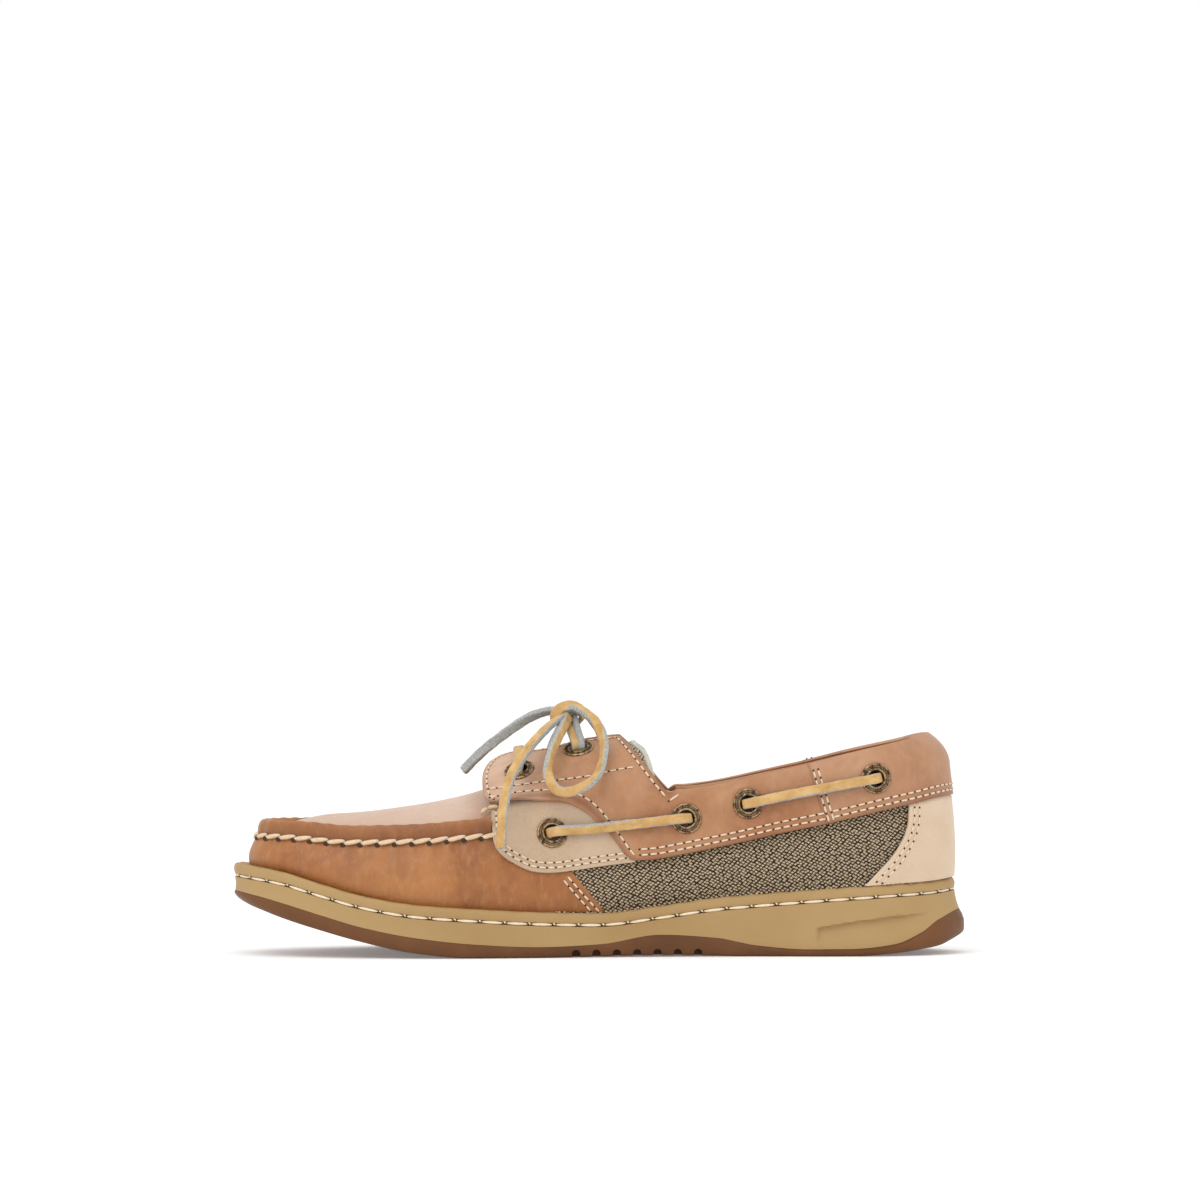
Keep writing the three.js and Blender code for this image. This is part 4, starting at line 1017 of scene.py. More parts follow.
# Places seen from the side, in millimetres: x, then height
seams = {
    "wallRear": [(-67.1, 16.1), (-70.3, 19.8), (-73.6, 23.4), (-76.8, 27), (-80, 30.7)],
    "flapFront": [(-109.2, 54.3), (-111.4, 57), (-111.9, 60), (-111.9, 63.2), (-111.1, 65.6), (-109.5, 67.6)],
    "flapLower": [(-109.2, 54.3), (-100, 56.2), (-91.7, 57), (-85.5, 57.2), (-80.5, 56.5), (-74.6, 53.6),
                  (-69.6, 48.6), (-64.6, 41.8), (-61.6, 37.4), (-59.2, 34.6)],
    "flapTop": [(-109.5, 67.6), (-107, 69.2), (-103.6, 70.9), (-100.8, 72.6)],
    "flapRear": [(-62.6, 77.2), (-58.4, 73.2), (-52.2, 65.9), (-48, 61), (-45, 57.9)],
    "bandJoin": [(-59.2, 34.6), (-54.8, 42), (-49.9, 50), (-45, 57.9)],
    "bandLower": [(-59.2, 34.6), (-55.5, 34.4), (-46.3, 35.4), (-21.6, 40.3), (-5.2, 44), (11.3, 47.4),
                  (15, 48.2)],
    "topline": [(-45, 57.9), (-42.5, 59.4), (-37.7, 59.7), (-26.9, 61.3), (-10.7, 64.8), (3, 67.8), (8, 69)],
    "bandRear": [(15, 48.2), (12.6, 55), (10.2, 62), (8, 69)],
    "eyestayFront": [(-106.9, 38.4), (-108.2, 41.5), (-108.6, 46), (-108.7, 51), (-108.7, 57.6)],
    "eyestayLower": [(-106.9, 38.4), (-104.8, 36.2), (-101.8, 34.2), (-95.6, 31.2), (-89.3, 30.3),
                     (-81.6, 30.8), (-70, 32.4), (-57.4, 33.9)],
    "eyestayUpper": [(-108.7, 57.6), (-100, 59.4), (-91.7, 60.2), (-85, 60.3), (-79.4, 59.5), (-72.5, 56),
                     (-66.8, 50.4), (-61.8, 43.2), (-57, 36.4)],
    "tongueRear": [(-43, 54.5), (-46, 58), (-50.2, 62.7), (-52.2, 70), (-54.3, 75.2), (-58.4, 78.6)],
}
# Heights of long lines as functions of x
toplineTable = {
    "along": [-66, -62.6, -58.4, -52.2, -48, -45, -42.5, -37.7, -26.9, -10.7, 5.5, 21.6, 37.8, 48.8],
    "high": [82, 77.2, 73.2, 65.9, 61, 57.9, 59.4, 59.7, 61.3, 64.8, 68.4, 72.4, 76, 78.4],
}
lowerTable = {
    "along": [-59.2, -46.3, -21.6, -5.2, 11.3, 40.9, 56.9], "high": [34.6, 35.4, 40.3, 44, 47.4, 54.3, 57.4],
}


def toplineHeight(x):
    return valueAt(toplineTable, "high", x / mm) * mm


def lowerHeight(x):
    return valueAt(lowerTable, "high", x / mm) * mm


def seamSpots(side, name, count, lifted=False):
    return sideSpot(side, smoothLine(np.array(seams[name]) * mm, count), lifted)


# Where the last has a given x on its middle line
def spineSpots(side, xs):
    turns = np.linspace(0, 0.5, 400)
    own = np.interp(xs, spinePoint(turns)[:, 0], turns)
    turn = own if side == medial else 1 - own
    return np.stack([turn, np.full(len(xs), 2.0)], -1)


throat = {
    "middle": float(spinePoint(np.array([0.25]))[0, 1]), "half": 11 * mm, "front": -98.5 * mm,
    "back": -63.6 * mm,
}


def panelPoints(spots, out, lifted=False):
    return skinPoint(spots[..., 0], spots[..., 1], out, lifted)[0]


# Moccasin wall, from one rear seam round the toe to the other
wallPlan = {
    "columns": 460, "rows": 44, "thickness": 1.2 * mm, "rounding": 0.35 * mm, "height": 24,
    "puckerPitch": 6.2 * mm, "puckerDepth": 0.22 * mm, "wrinklePitch": 2.3 * mm, "wrinkleDepth": 0.09 * mm,
}
ridgePlan = {
    "end": -109 * mm, "columns": 420, "scallop": 0.22 * mm, "thickness": 0.7 * mm,
    "profile": [(-0.2, -1.4), (-0.35, -0.7), (-0.1, -0.1), (0.15, 0.5), (0.1, 1.4), (0.2, 2.4), (0.45, 3.4),
                (0.9, 4.2), (1.5, 4.6), (2.2, 4.65), (2.9, 4.3), (3.5, 3.5), (4, 2.3), (4.4, 0.9),
                (4.6, -0.6)],
}


def ridgeWalk(turn):
    line = lastPoint(turn, np.ones(turn.shape))
    walk = walkAlong(line)
    return walk - np.interp(0, turn, walk)


def makeWall():
    left = seamSpots(lateral, "wallRear", 12) - [1, 0]
    right = seamSpots(medial, "wallRear", 12)
    count = wallPlan["columns"] + 1
    turn = np.linspace(0, 1, count)
    low = np.stack([left[0, 0] + (right[0, 0] - left[0, 0]) * turn, np.full(count, -0.05)], -1)
    high = np.stack([left[-1, 0] + (right[-1, 0] - left[-1, 0]) * turn, np.zeros(count)], -1)
    x = lastPoint(high[:, 0], np.ones(count))[:, 0]
    tail = smoothStep(ridgePlan["end"] - 2 * mm, -80 * mm, x)
    high[:, 1] = 1.02 + (left[-1, 1] - 1.02) * tail
    spots = ruledField(low, high, wallPlan["rows"])
    ridgeTurn = spots[-1, :, 0]
    walk = np.interp(spots[..., 0], ridgeTurn, ridgeWalk(ridgeTurn))
    down = np.clip((1 - spots[..., 1]) * wallPlan["height"], 0, None)
    pucker = np.cos(2 * math.pi * walk / wallPlan["puckerPitch"] + 0.5 * np.sin(walk / mm / 9))
    fade = np.exp(-down / 4.2) * (1 - tail)[None]
    out = wallPlan["puckerDepth"] * pucker * fade
    wrinkle = np.sin(2 * math.pi * walk / wallPlan["wrinklePitch"] + 3 * np.sin(walk / mm / 5))
    out += wallPlan["wrinkleDepth"] * wrinkle * np.exp(-down / 6) * (1 - tail)[None]
    base = panelPoints(spots, 0.0)
    medialSide = spots[..., 0] > 0
    out += np.where(medialSide, creased(base, wallCreases, medial), creased(base, wallCreases, lateral))
    points = panelPoints(spots, out)
    # Painted shade: darker just under the ridge, at the foot of the wall and in the pucker troughs. Painted
    # highlight: paler on the pucker crests.
    burnish = 0.55 * np.exp(-down / 1.6) * (1 - tail)[None]
    burnish += 0.3 * np.exp(-(spots[..., 1] + 0.05) * wallPlan["height"] / 2.5)
    burnish += 0.12 * np.clip(-pucker, 0, 1) * fade
    faded = np.clip(0.35 * pucker * fade, 0, 1)
    piece = mouldedGrid("upper_wall", points, burnish=np.clip(burnish, 0, 0.8), faded=faded)
    thicken(piece, wallPlan["thickness"], wallPlan["rounding"])
    return piece


wallCreases = [
    {"line": [(-128, 40), (-127, 34), (-124.5, 27)], "depth": 0.35, "width": 2.2},
    {"line": [(-120, 41), (-117.5, 34), (-117, 26)], "depth": 0.45, "width": 2.6},
    {"line": [(-113, 39), (-109, 31), (-106, 24)], "depth": 0.3, "width": 2.4},
    {"line": [(-141, 38), (-139, 32), (-137, 28)], "depth": 0.22, "width": 2.2},
    {"line": [(-158, 38), (-155, 31), (-152, 26)], "depth": 0.2, "width": 3},
    {"line": [(-99, 28), (-90, 25.5), (-80, 24.5)], "depth": 0.2, "width": 2},
]


# Turns from one end of the ridge round the toe to the other, below 0 on the outer side
def ridgeTurns(count, end=ridgePlan["end"]):
    own = np.linspace(0.02, 0.45, 200)
    ends = [np.interp(end, lastPoint(turn, 1)[:, 0], own) for turn in (1 - own, own)]
    return np.linspace(-ends[0], ends[1], count)


# Places just under the shoulder and their level outward directions
def shoulderRow(turn):
    places, normals = skinPoint(turn, np.full(turn.shape, 0.999), 0)
    normals[:, 2] = 0
    return places, unit(normals)


def makeRidge():
    turn = ridgeTurns(ridgePlan["columns"] + 1)
    walk = ridgeWalk(turn)
    beat = np.cos(2 * math.pi * walk / wallPlan["puckerPitch"])
    rows = []
    outward = shoulderRow(turn)[1]
    foot = lastPoint(turn, np.ones(turn.shape))
    wide = np.linalg.norm(foot[:, :2] - spinePoint(turn), axis=-1)
    for inset, lift in ridgePlan["profile"]:
        base = lastPoint(turn, 1 + max(inset, 0) * mm / wide)
        bulge = ridgePlan["scallop"] * beat * math.exp(-((lift - 2) / 2.4) ** 2)
        row = base + outward * (bulge + max(-inset, 0) * mm)[:, None]
        row[:, 2] += lift * mm + 0.12 * mm * beat * max(lift, 0) / 4.6
        rows.append(row)
    lifts = np.array([lift for _, lift in ridgePlan["profile"]])[:, None]
    insets = np.array([inset for inset, _ in ridgePlan["profile"]])[:, None]
    # Painted shade: darker at the ridge's foot and on its outer face than on its inner face, over an evenly
    # darker tone
    burnish = 0.35 + 0.35 * np.exp(-np.clip(lifts, 0, None) / 0.9) - 0.3 * smoothStep(0.6, 2, insets)
    piece = mouldedGrid("moc_ridge", np.array(rows), burnish=np.clip(burnish, 0, 1), faded=0.0)
    thicken(piece, ridgePlan["thickness"])
    return piece


apronPlan = {
    "stations": 110, "across": 46, "end": -88 * mm, "inset": 3.4 * mm, "thickness": 1.2 * mm,
    "pole": 1.6 * mm,
}


# Corners within a reach of a place become one
def gatherAt(piece, place, reach):
    selectOnly(piece)
    bpy.ops.object.mode_set(mode="EDIT")
    bpy.ops.mesh.select_all(action="DESELECT")
    bpy.ops.object.mode_set(mode="OBJECT")
    for vertex in piece.data.vertices:
        away = math.hypot(vertex.co.x - place[0], vertex.co.y - place[1])
        vertex.select = bool(away < reach and vertex.co.z > place[2] - 2 * reach)
    bpy.ops.object.mode_set(mode="EDIT")
    bpy.ops.mesh.merge(type="CENTER")
    bpy.ops.object.mode_set(mode="OBJECT")


def makeApron():
    lastTurn = float(spineSpots(medial, np.array([apronPlan["end"]]))[0, 0])
    own = lastTurn * np.linspace(0, 1, apronPlan["stations"] + 1) ** 0.9
    wide = np.linalg.norm(lastPoint(own, np.ones(own.shape))[:, :2] - spinePoint(own), axis=-1)
    start = 1 + apronPlan["inset"] / wide
    share = np.linspace(0, 1, apronPlan["across"] + 1)
    inner = start[:, None] + (2 - start)[:, None] * share[None]
    near = np.stack([np.broadcast_to(own[:, None], inner.shape), inner], -1)
    far = np.stack([np.broadcast_to(1 - own[:, None], inner.shape), inner], -1)[:, ::-1][:, 1:]
    spots = np.concatenate([near, far], 1)
    edge = (spots[..., 1] - start[:, None]) * wide[:, None]
    out = -0.3 * mm * np.exp(-edge / (2.5 * mm))
    points = panelPoints(spots, out)
    # Painted shade: darker along the edge beside the ridge and toward the rear, where the flaps and tongue
    # lie over it
    burnish = 0.9 * np.exp(-edge / (3.2 * mm))
    burnish = burnish + 0.45 * smoothStep(-122 * mm, -110 * mm, points[..., 0])
    piece = mouldedGrid("apron", points[::-1], burnish=np.clip(burnish, 0, 0.9)[::-1], faded=0.0)
    sew(piece)
    gatherAt(piece, lastPoint(0, 2), apronPlan["pole"])
    facesUp(piece)
    thicken(piece, apronPlan["thickness"])
    return piece


# Turns a sheet over if most of it looks down
def facesUp(piece):
    normals = np.empty(3 * len(piece.data.polygons))
    piece.data.polygons.foreach_get("normal", normals)
    if normals.reshape(-1, 3)[:, 2].mean() < 0:
        piece.data.flip_normals()


# Woven side panels, tucked under what surrounds them
weavePlan = {
    "columns": 200, "rows": 36, "depth": -0.45 * mm, "thickness": 0.45 * mm, "least": 31 * mm,
    "tuck": 2.5 * mm, "mapRow": 30,
}


def makeSidePanel(side):
    first = sideSpot(side, np.array([(-86, 27)]) * mm)[0, 0]
    final = sideSpot(side, np.array([(46, 40)]) * mm)[0, 0]
    turn = np.linspace(min(first, final), max(first, final), weavePlan["columns"] + 1)
    low = np.stack([turn, np.full(turn.shape, -0.05)], -1)
    top = riseAtHeight(turn, lambda x: np.maximum(lowerHeight(x), weavePlan["least"]) + weavePlan["tuck"])
    high = np.stack([turn, top], -1)
    spots = ruledField(low, high, weavePlan["rows"])
    base = panelPoints(spots, weavePlan["depth"])
    along = walkAlong(base[weavePlan["mapRow"]])
    tile = np.stack([np.broadcast_to(along, spots.shape[:2]), base[..., 2]], -1)
    piece = mouldedGrid("side_weave_" + sideWords[side], base, tile)
    thicken(piece, weavePlan["thickness"])
    return piece


# Eyelets: along and high as shares of soleLength and collarHeight, whether they are in the loose
# flap, and how far out the leather is
eyeletPlaces = {
    "flap_front": (0.391, 0.832, True, 1.8 * mm), "flap_rear": (0.471, 0.926, True, 1.8 * mm),
    "stay": (0.434, 0.564, False, 1.3 * mm), "collar_front": (0.616, 0.63, False, 1.8 * mm),
    "collar_mid": (0.7, 0.699, False, 1.8 * mm), "collar_rear": (0.872, 0.815, False, 1.9 * mm),
}
# Rows of the profile: radius, height and how dark the metal is there
eyeletLook = {
    "seat": 5.6 * mm, "blend": 8.4 * mm, "dent": 0.15 * mm, "columns": 96, "beads": 32, "bead": 0.07 * mm,
    "bore": 3.3 * mm,
    "profile": [(2.75, -4, 1), (2.75, -0.4, 0.8), (2.85, 0.35, 0.3), (3.05, 0.75, 0), (3.35, 0.9, 0),
                (3.6, 0.82, 0.2), (3.8, 0.6, 0.7), (3.95, 0.52, 0.9), (4.2, 0.56, 0.5), (4.5, 0.58, 0.5),
                (4.75, 0.52, 0.9), (4.95, 0.62, 0.2), (5.2, 0.6, 0), (5.42, 0.42, 0), (5.52, 0.15, 0.2),
                (5.5, -0.3, 0.5)],
}


def eyeletSpot(side, place):
    along, high, lifted, out = eyeletPlaces[place]
    target = np.array([[float(alongX(along)), high * shoe["collarHeight"]]])
    turn, rise = sideSpot(side, target, lifted)[0]
    point, normal = skinPoint(turn, rise, out, lifted)
    return point, normal


# Points of a panel, pressed flat and slightly in under an eyelet
def pressFlat(points, side, place):
    centre, normal = eyeletSpot(side, place)
    away = points - centre
    height = away @ normal
    reach = np.linalg.norm(away - height[..., None] * normal, axis=-1)
    share = 1 - smoothStep(eyeletLook["seat"], eyeletLook["blend"], reach)
    share = share * (np.abs(height) < 5 * mm)
    dent = eyeletLook["dent"] * (1 - smoothStep(5.2 * mm, 6.6 * mm, reach))
    return points - ((height * share) + dent * (share > 0))[..., None] * normal


def acrossNormal(normal):
    side = unit(np.cross([0, 0, 1.0], normal))
    return side, np.cross(normal, side)


def makeEyelet(side, place):
    centre, normal = eyeletSpot(side, place)
    right, up = acrossNormal(normal)
    angle = np.linspace(0, 2 * math.pi, eyeletLook["columns"] + 1)
    around = np.cos(angle)[:, None] * right + np.sin(angle)[:, None] * up
    rows, patinaAndBoreShade = [], []
    for radius, height, depth in eyeletLook["profile"]:
        beads = eyeletLook["bead"] * np.cos(eyeletLook["beads"] * angle) if 4 < radius < 4.6 else 0 * angle
        rows.append(centre + radius * mm * around + (height * mm + beads)[:, None] * normal)
        patinaAndBoreShade.append(np.full(angle.shape, depth) - 0.3 * beads / eyeletLook["bead"] * (depth == 0.5))
    name = "brass_eyelet_" + sideWords[side] + "_" + place
    piece = mouldedGrid(name, np.array(rows), burnish=np.clip(np.array(patinaAndBoreShade), 0, 1))
    sew(piece)
    return piece


# Plugs that bore the leather for the eyelets
def makeBores():
    made = []
    for side in (medial, lateral):
        for place in eyeletPlaces:
            centre, normal = eyeletSpot(side, place)
            deselectAll()
            turned = Vector(normal).to_track_quat("Z", "Y").to_euler()
            bpy.ops.mesh.primitive_cylinder_add(
                vertices=40, radius=eyeletLook["bore"], depth=12 * mm, location=centre, rotation=turned
            )
            made.append(bpy.context.object)
    bores = joinPieces("bores", made)
    deselectAll()
    bores.select_set(True)
    bpy.ops.object.transform_apply(location=True, rotation=True, scale=True)
    return bores


# Quarter: the flap over the instep and the collar band that runs back from it, in one piece of leather
quarterPlan = {
    "flapColumns": 104, "bandColumns": 116, "rows": 56, "thickness": 1.5 * mm, "out": 1.8 * mm,
    "rounding": 0.45 * mm,
}


def flapTopSpots(side, count):
    corner = seamSpots(side, "flapTop", 14, True)
    xs = np.linspace(throat["front"], throat["back"], 30)
    ys = np.full(30, throat["middle"] + side * throat["half"])
    edge = topSpot(side, np.stack([xs, ys], -1), True)
    rear = seamSpots(side, "flapRear", 20, True)
    spots = np.vstack([corner, edge, rear])
    line = lastPoint(spots[:, 0], spots[:, 1], True)
    walk = walkAlong(line)
    at = np.linspace(0, walk[-1], count)
    return np.stack([np.interp(at, walk, spots[:, k]) for k in range(2)], -1)


def makeQuarter(side):
    rows, columns, band = quarterPlan["rows"], quarterPlan["flapColumns"], quarterPlan["bandColumns"]
    flap = field(
        seamSpots(side, "flapLower", columns + 1), flapTopSpots(side, columns + 1),
        seamSpots(side, "flapFront", rows + 1, True), seamSpots(side, "bandJoin", rows + 1),
    )
    collar = field(
        seamSpots(side, "bandLower", band + 1), seamSpots(side, "topline", band + 1),
        seamSpots(side, "bandJoin", rows + 1), seamSpots(side, "bandRear", rows + 1),
    )
    spots = np.concatenate([flap, collar[:, 1:]], 1)
    if side == lateral:
        spots = spots[:, ::-1]
    base = panelPoints(spots, quarterPlan["out"], True)
    points = panelPoints(spots, quarterPlan["out"] + creased(base, quarterCreases, side), True)
    for place in ("flap_front", "flap_rear", "collar_front", "collar_mid"):
        points = pressFlat(points, side, place)
    # Paler toward the flap's front, darker along the flap's edges
    faded = 0.8 * (1 - smoothStep(-100 * mm, -84 * mm, base[..., 0]))
    burnish = quarterEdgeDarkening(side, base)
    piece = mouldedGrid("quarter_leather_" + sideWords[side], points, burnish=burnish, faded=faded)
    thicken(piece, quarterPlan["thickness"], quarterPlan["rounding"])
    return piece


quarterCreases = [
    {"line": [(-47, 55), (-50.5, 50), (-56, 44)], "depth": 0.25, "width": 2.6},
    {"line": [(-56, 65), (-60, 57), (-62, 50)], "depth": 0.22, "width": 3.4},
    {"line": [(-30, 58), (-34, 52), (-36, 44)], "depth": 0.15, "width": 3},
    {"line": [(-8, 62), (-10, 55), (-12, 47)], "depth": 0.15, "width": 3.4},
]


def quarterEdgeDarkening(side, base):
    lower = np.vstack([seams["flapLower"], seams["bandLower"][1:]])
    edges = [(lower, 0.55, 1.3), (seams["flapFront"], 0.35, 1.4), (seams["flapRear"], 0.4, 1.6)]
    burnish = np.zeros(base.shape[:2])
    for line, share, width in edges:
        spots = sideSpot(side, smoothLine(np.array(line) * mm, 40), True)
        edge = skinPoint(spots[:, 0], spots[:, 1], quarterPlan["out"], True)[0]
        burnish += share * np.exp(-((distanceTo(base, edge) / (width * mm)) ** 2))
    return np.clip(burnish, 0, 0.7)


# Back of the collar, round the heel from seam to seam
collarPlan = {"columns": 200, "rows": 46, "thickness": 1.5 * mm, "out": 1.9 * mm, "rounding": 0.45 * mm}
collarFront = [(4.6, 68.2), (6.4, 62), (8.4, 55.5), (10.8, 47.4)]


def backField(side0, side1, low, high, columns, rows):
    low0, low1 = side0[0, 0], side1[0, 0]
    high0, high1 = side0[-1, 0], side1[-1, 0]
    share = np.linspace(0, 1, columns + 1)
    bottomTurn, topTurn = low0 + (low1 - low0) * share, high0 + (high1 - high0) * share
    bottom = np.stack([bottomTurn, low(bottomTurn)], -1)
    top = np.stack([topTurn, high(topTurn)], -1)
    return ruledField(bottom, top, rows)


def makeCollarBack():
    near = sideSpot(medial, smoothLine(np.array(collarFront[::-1]) * mm, 10))
    far = sideSpot(lateral, smoothLine(np.array(collarFront[::-1]) * mm, 10))
    spots = backField(
        near, far, lambda t: riseAtHeight(t, lowerHeight), lambda t: riseAtHeight(t, toplineHeight),
        collarPlan["columns"], collarPlan["rows"],
    )
    points = panelPoints(spots, collarPlan["out"])
    burnish = 0.6 * np.exp(-((distanceTo(points, points[0]) / (1.3 * mm)) ** 2))
    for edge in (points[:, 0], points[:, -1]):
        burnish += 0.6 * np.exp(-((distanceTo(points, edge) / (1.2 * mm)) ** 2))
    for side in (medial, lateral):
        points = pressFlat(points, side, "collar_rear")
    piece = mouldedGrid("collar_back_leather", points, burnish=np.clip(burnish, 0, 0.7), faded=0.15)
    thicken(piece, collarPlan["thickness"], collarPlan["rounding"])
    return piece


counterPlan = {
    "columns": 150, "rows": 44, "thickness": 1 * mm, "out": 1.2 * mm, "rounding": 0.3 * mm, "sink": 1.1 * mm,
}
counterFront = [(23.6, 22.5), (24.8, 24.7), (29.3, 29.7), (35.9, 37.1), (40.4, 46.1), (41.1, 56.5)]


def makeCounter():
    rows, columns = counterPlan["rows"], counterPlan["columns"]
    near = sideSpot(medial, smoothLine(np.array(counterFront) * mm, rows + 1))
    far = sideSpot(lateral, smoothLine(np.array(counterFront) * mm, rows + 1))
    share = np.linspace(0, 1, columns + 1)
    bottomTurn = near[0, 0] + (far[0, 0] - near[0, 0]) * share
    topTurn = near[-1, 0] + (far[-1, 0] - near[-1, 0]) * share
    bottom = np.stack([bottomTurn, near[0, 1] + 0 * share], -1)
    top = np.stack([topTurn, riseAtHeight(topTurn, lambda x: lowerHeight(x) + 2 * mm)], -1)
    spots = field(bottom, top, near, far)
    base = panelPoints(spots, 0.0)
    tuck = smoothStep(-0.5 * mm, 1 * mm, base[..., 2] - lowerHeight(base[..., 0]))
    points = panelPoints(spots, counterPlan["out"] - counterPlan["sink"] * tuck)
    piece = mouldedGrid("heel_counter", points, burnish=0.0)
    thicken(piece, counterPlan["thickness"], counterPlan["rounding"])
    return piece


eyestayPlan = {
    "columns": 96, "rows": 60, "thickness": 1 * mm, "out": 1.3 * mm, "rounding": 0.3 * mm, "sink": 1.0 * mm,
}


def makeEyestay(side):
    columns, rows = eyestayPlan["columns"], eyestayPlan["rows"]
    lower = seamSpots(side, "eyestayLower", columns + 1)
    upper = seamSpots(side, "eyestayUpper", columns + 1)
    front = seamSpots(side, "eyestayFront", rows + 1)
    spots = field(lower, upper, front, straight(lower[-1], upper[-1], rows + 1))
    if side == lateral:
        spots = spots[:, ::-1]
    base = panelPoints(spots, 0.0)
    edge = sideSpot(side, smoothLine(np.array(seams["flapLower"]) * mm, 40))
    v = np.linspace(0, 1, rows + 1)[:, None]
    near = distanceTo(base, lastPoint(edge[:, 0], edge[:, 1]))
    hidden = (v > 0.5) * smoothStep(0.4 * mm, 2.2 * mm, near * isAbove(base, edge))
    points = pressFlat(panelPoints(spots, eyestayPlan["out"] - eyestayPlan["sink"] * hidden), side, "stay")
    piece = mouldedGrid("eyestay_nubuck_" + sideWords[side], points, burnish=0.0)
    thicken(piece, eyestayPlan["thickness"], eyestayPlan["rounding"])
    return piece


# 1 where points lie above a line of spots, as seen from the side, and 0 elsewhere
def isAbove(points, spots):
    line = lastPoint(spots[:, 0], spots[:, 1])
    order = np.argsort(line[:, 0])
    return (points[..., 2] > np.interp(points[..., 0], line[order, 0], line[order, 2])).astype(float)


tonguePlan = {
    "columns": 92, "rows": 46, "out": -2.3 * mm, "thickness": 2.4 * mm, "front": -103.5 * mm,
    "low": 56.5 * mm, "rounding": 0.8 * mm,
}
tongueFoot, tonguePeak = np.array(seams["tongueRear"], float)[[0, -1]] * mm


# Rear edge of the tongue, up to the middle line
def tongueRear(side, count):
    spots = seamSpots(side, "tongueRear", count)
    spots[-1] = spineSpots(side, tonguePeak[:1])[0]
    return spots


def makeTongue():
    halves = []
    for side in (medial, lateral):
        columns, rows = tonguePlan["columns"], tonguePlan["rows"]
        rear = tongueRear(side, rows + 1)
        lowXs = np.linspace(tonguePlan["front"], tongueFoot[0], columns + 1)
        lowZs = np.linspace(tonguePlan["low"], tongueFoot[1], columns + 1)
        low = sideSpot(side, np.stack([lowXs, lowZs], -1))
        low[:, 1] = np.linspace(low[0, 1], rear[0, 1], columns + 1)
        low[:, 0] = np.linspace(low[0, 0], rear[0, 0], columns + 1)
        top = spineSpots(side, np.linspace(tonguePlan["front"], tonguePeak[0], columns + 1))
        spots = field(low, top, straight(low[0], top[0], rows + 1), rear)
        if side == lateral:
            spots = spots[:, ::-1]
        base = panelPoints(spots, tonguePlan["out"])
        up = walkAlong(base[:, columns // 2])
        tile = np.stack([base[..., 0], np.broadcast_to(up[:, None], spots.shape[:2])], -1)
        halves.append(mouldedGrid("tongue_half", base, tile))
    piece = joinPieces("tongue_weave", halves)
    sew(piece, 0.05 * mm)
    facesUp(piece)
    thicken(piece, tonguePlan["thickness"], tonguePlan["rounding"])
    return piece


# Lining, the inner face of the whole upper, and the padded roll along the topline
liningPlan = {
    "columns": 260, "rows": 38, "out": -0.9 * mm, "thickness": 1.1 * mm, "pole": 3 * mm,
    "cutHalf": 14 * mm, "cutFront": -108 * mm, "cutBack": -50 * mm, "rimFrom": -70 * mm, "underRim": 0.02,
}


# How far up the lining goes: to the topline, and further forward to a cut along the throat
def liningTop(turn):
    x = lastPoint(turn, np.ones(turn.shape))[:, 0]
    rim = riseAtHeight(turn, toplineHeight)
    side = np.where(turn <= 0.5, medial, lateral)
    cut = np.full(turn.shape, 2.0)
    for one in (medial, lateral):
        xs = np.linspace(liningPlan["cutFront"], liningPlan["cutBack"], 40)
        ys = np.full(40, throat["middle"] + one * liningPlan["cutHalf"])
        spots = topSpot(one, np.stack([xs, ys], -1))
        order = np.argsort(spots[:, 0])
        along = np.interp(turn, spots[order, 0], spots[order, 1])
        cut = np.where(side == one, along, cut)
    front = smoothStep(-106 * mm, -101 * mm, x)
    high = 2 - (2 - cut) * front
    return np.where(x > liningPlan["rimFrom"], np.minimum(high, rim - liningPlan["underRim"]), high)


def makeLining():
    turn = turnsAround(liningPlan["columns"])
    turn[-1] = 1.0
    low = np.stack([turn, np.full(turn.shape, 0.0)], -1)
    high = np.stack([turn, liningTop(np.clip(turn, 0, 1))], -1)
    spots = ruledField(low, high, liningPlan["rows"])
    piece = mouldedGrid("lining", panelPoints(spots, liningPlan["out"]))
    gatherAt(piece, lastPoint(0, 2), liningPlan["pole"])
    thicken(piece, liningPlan["thickness"])
    return piece


rollPlan = {
    "columns": 260, "front": (-42, 59.4), "thickness": 0.5 * mm,
    "profile": [(1.6, 0.25), (0.8, 0.15), (0.3, -0.25), (0.02, -0.95), (0, -1.8), (0.25, -2.7), (0.9, -3.5),
                (2, -4.05), (3.6, -4.3), (5.6, -4.2), (8, -3.7), (10.5, -3), (13, -2.3), (15, -1.9)],
}


def makeCollarRoll():
    ends = [sideSpot(side, np.array([rollPlan["front"]]) * mm)[0, 0] for side in (medial, lateral)]
    turn = np.linspace(*ends, rollPlan["columns"] + 1)
    rows = []
    share = np.linspace(0, 1, len(turn))
    taper = smoothStep(0, 0.05, np.minimum(share, 1 - share))
    for drop, out in rollPlan["profile"]:
        rise = riseAtHeight(turn, lambda x, drop=drop: toplineHeight(x) - drop * mm)
        push = out * (0.4 + 0.6 * taper) if out < 0 else np.full(taper.shape, out)
        rows.append(skinPoint(turn, rise, push * mm)[0])
    piece = mouldedGrid("collar_roll", np.array(rows), burnish=0.05, faded=0.0)
    thicken(piece, rollPlan["thickness"])
    return piece


insolePlan = {"columns": 260, "thickness": 4 * mm, "gap": 1.5 * mm}


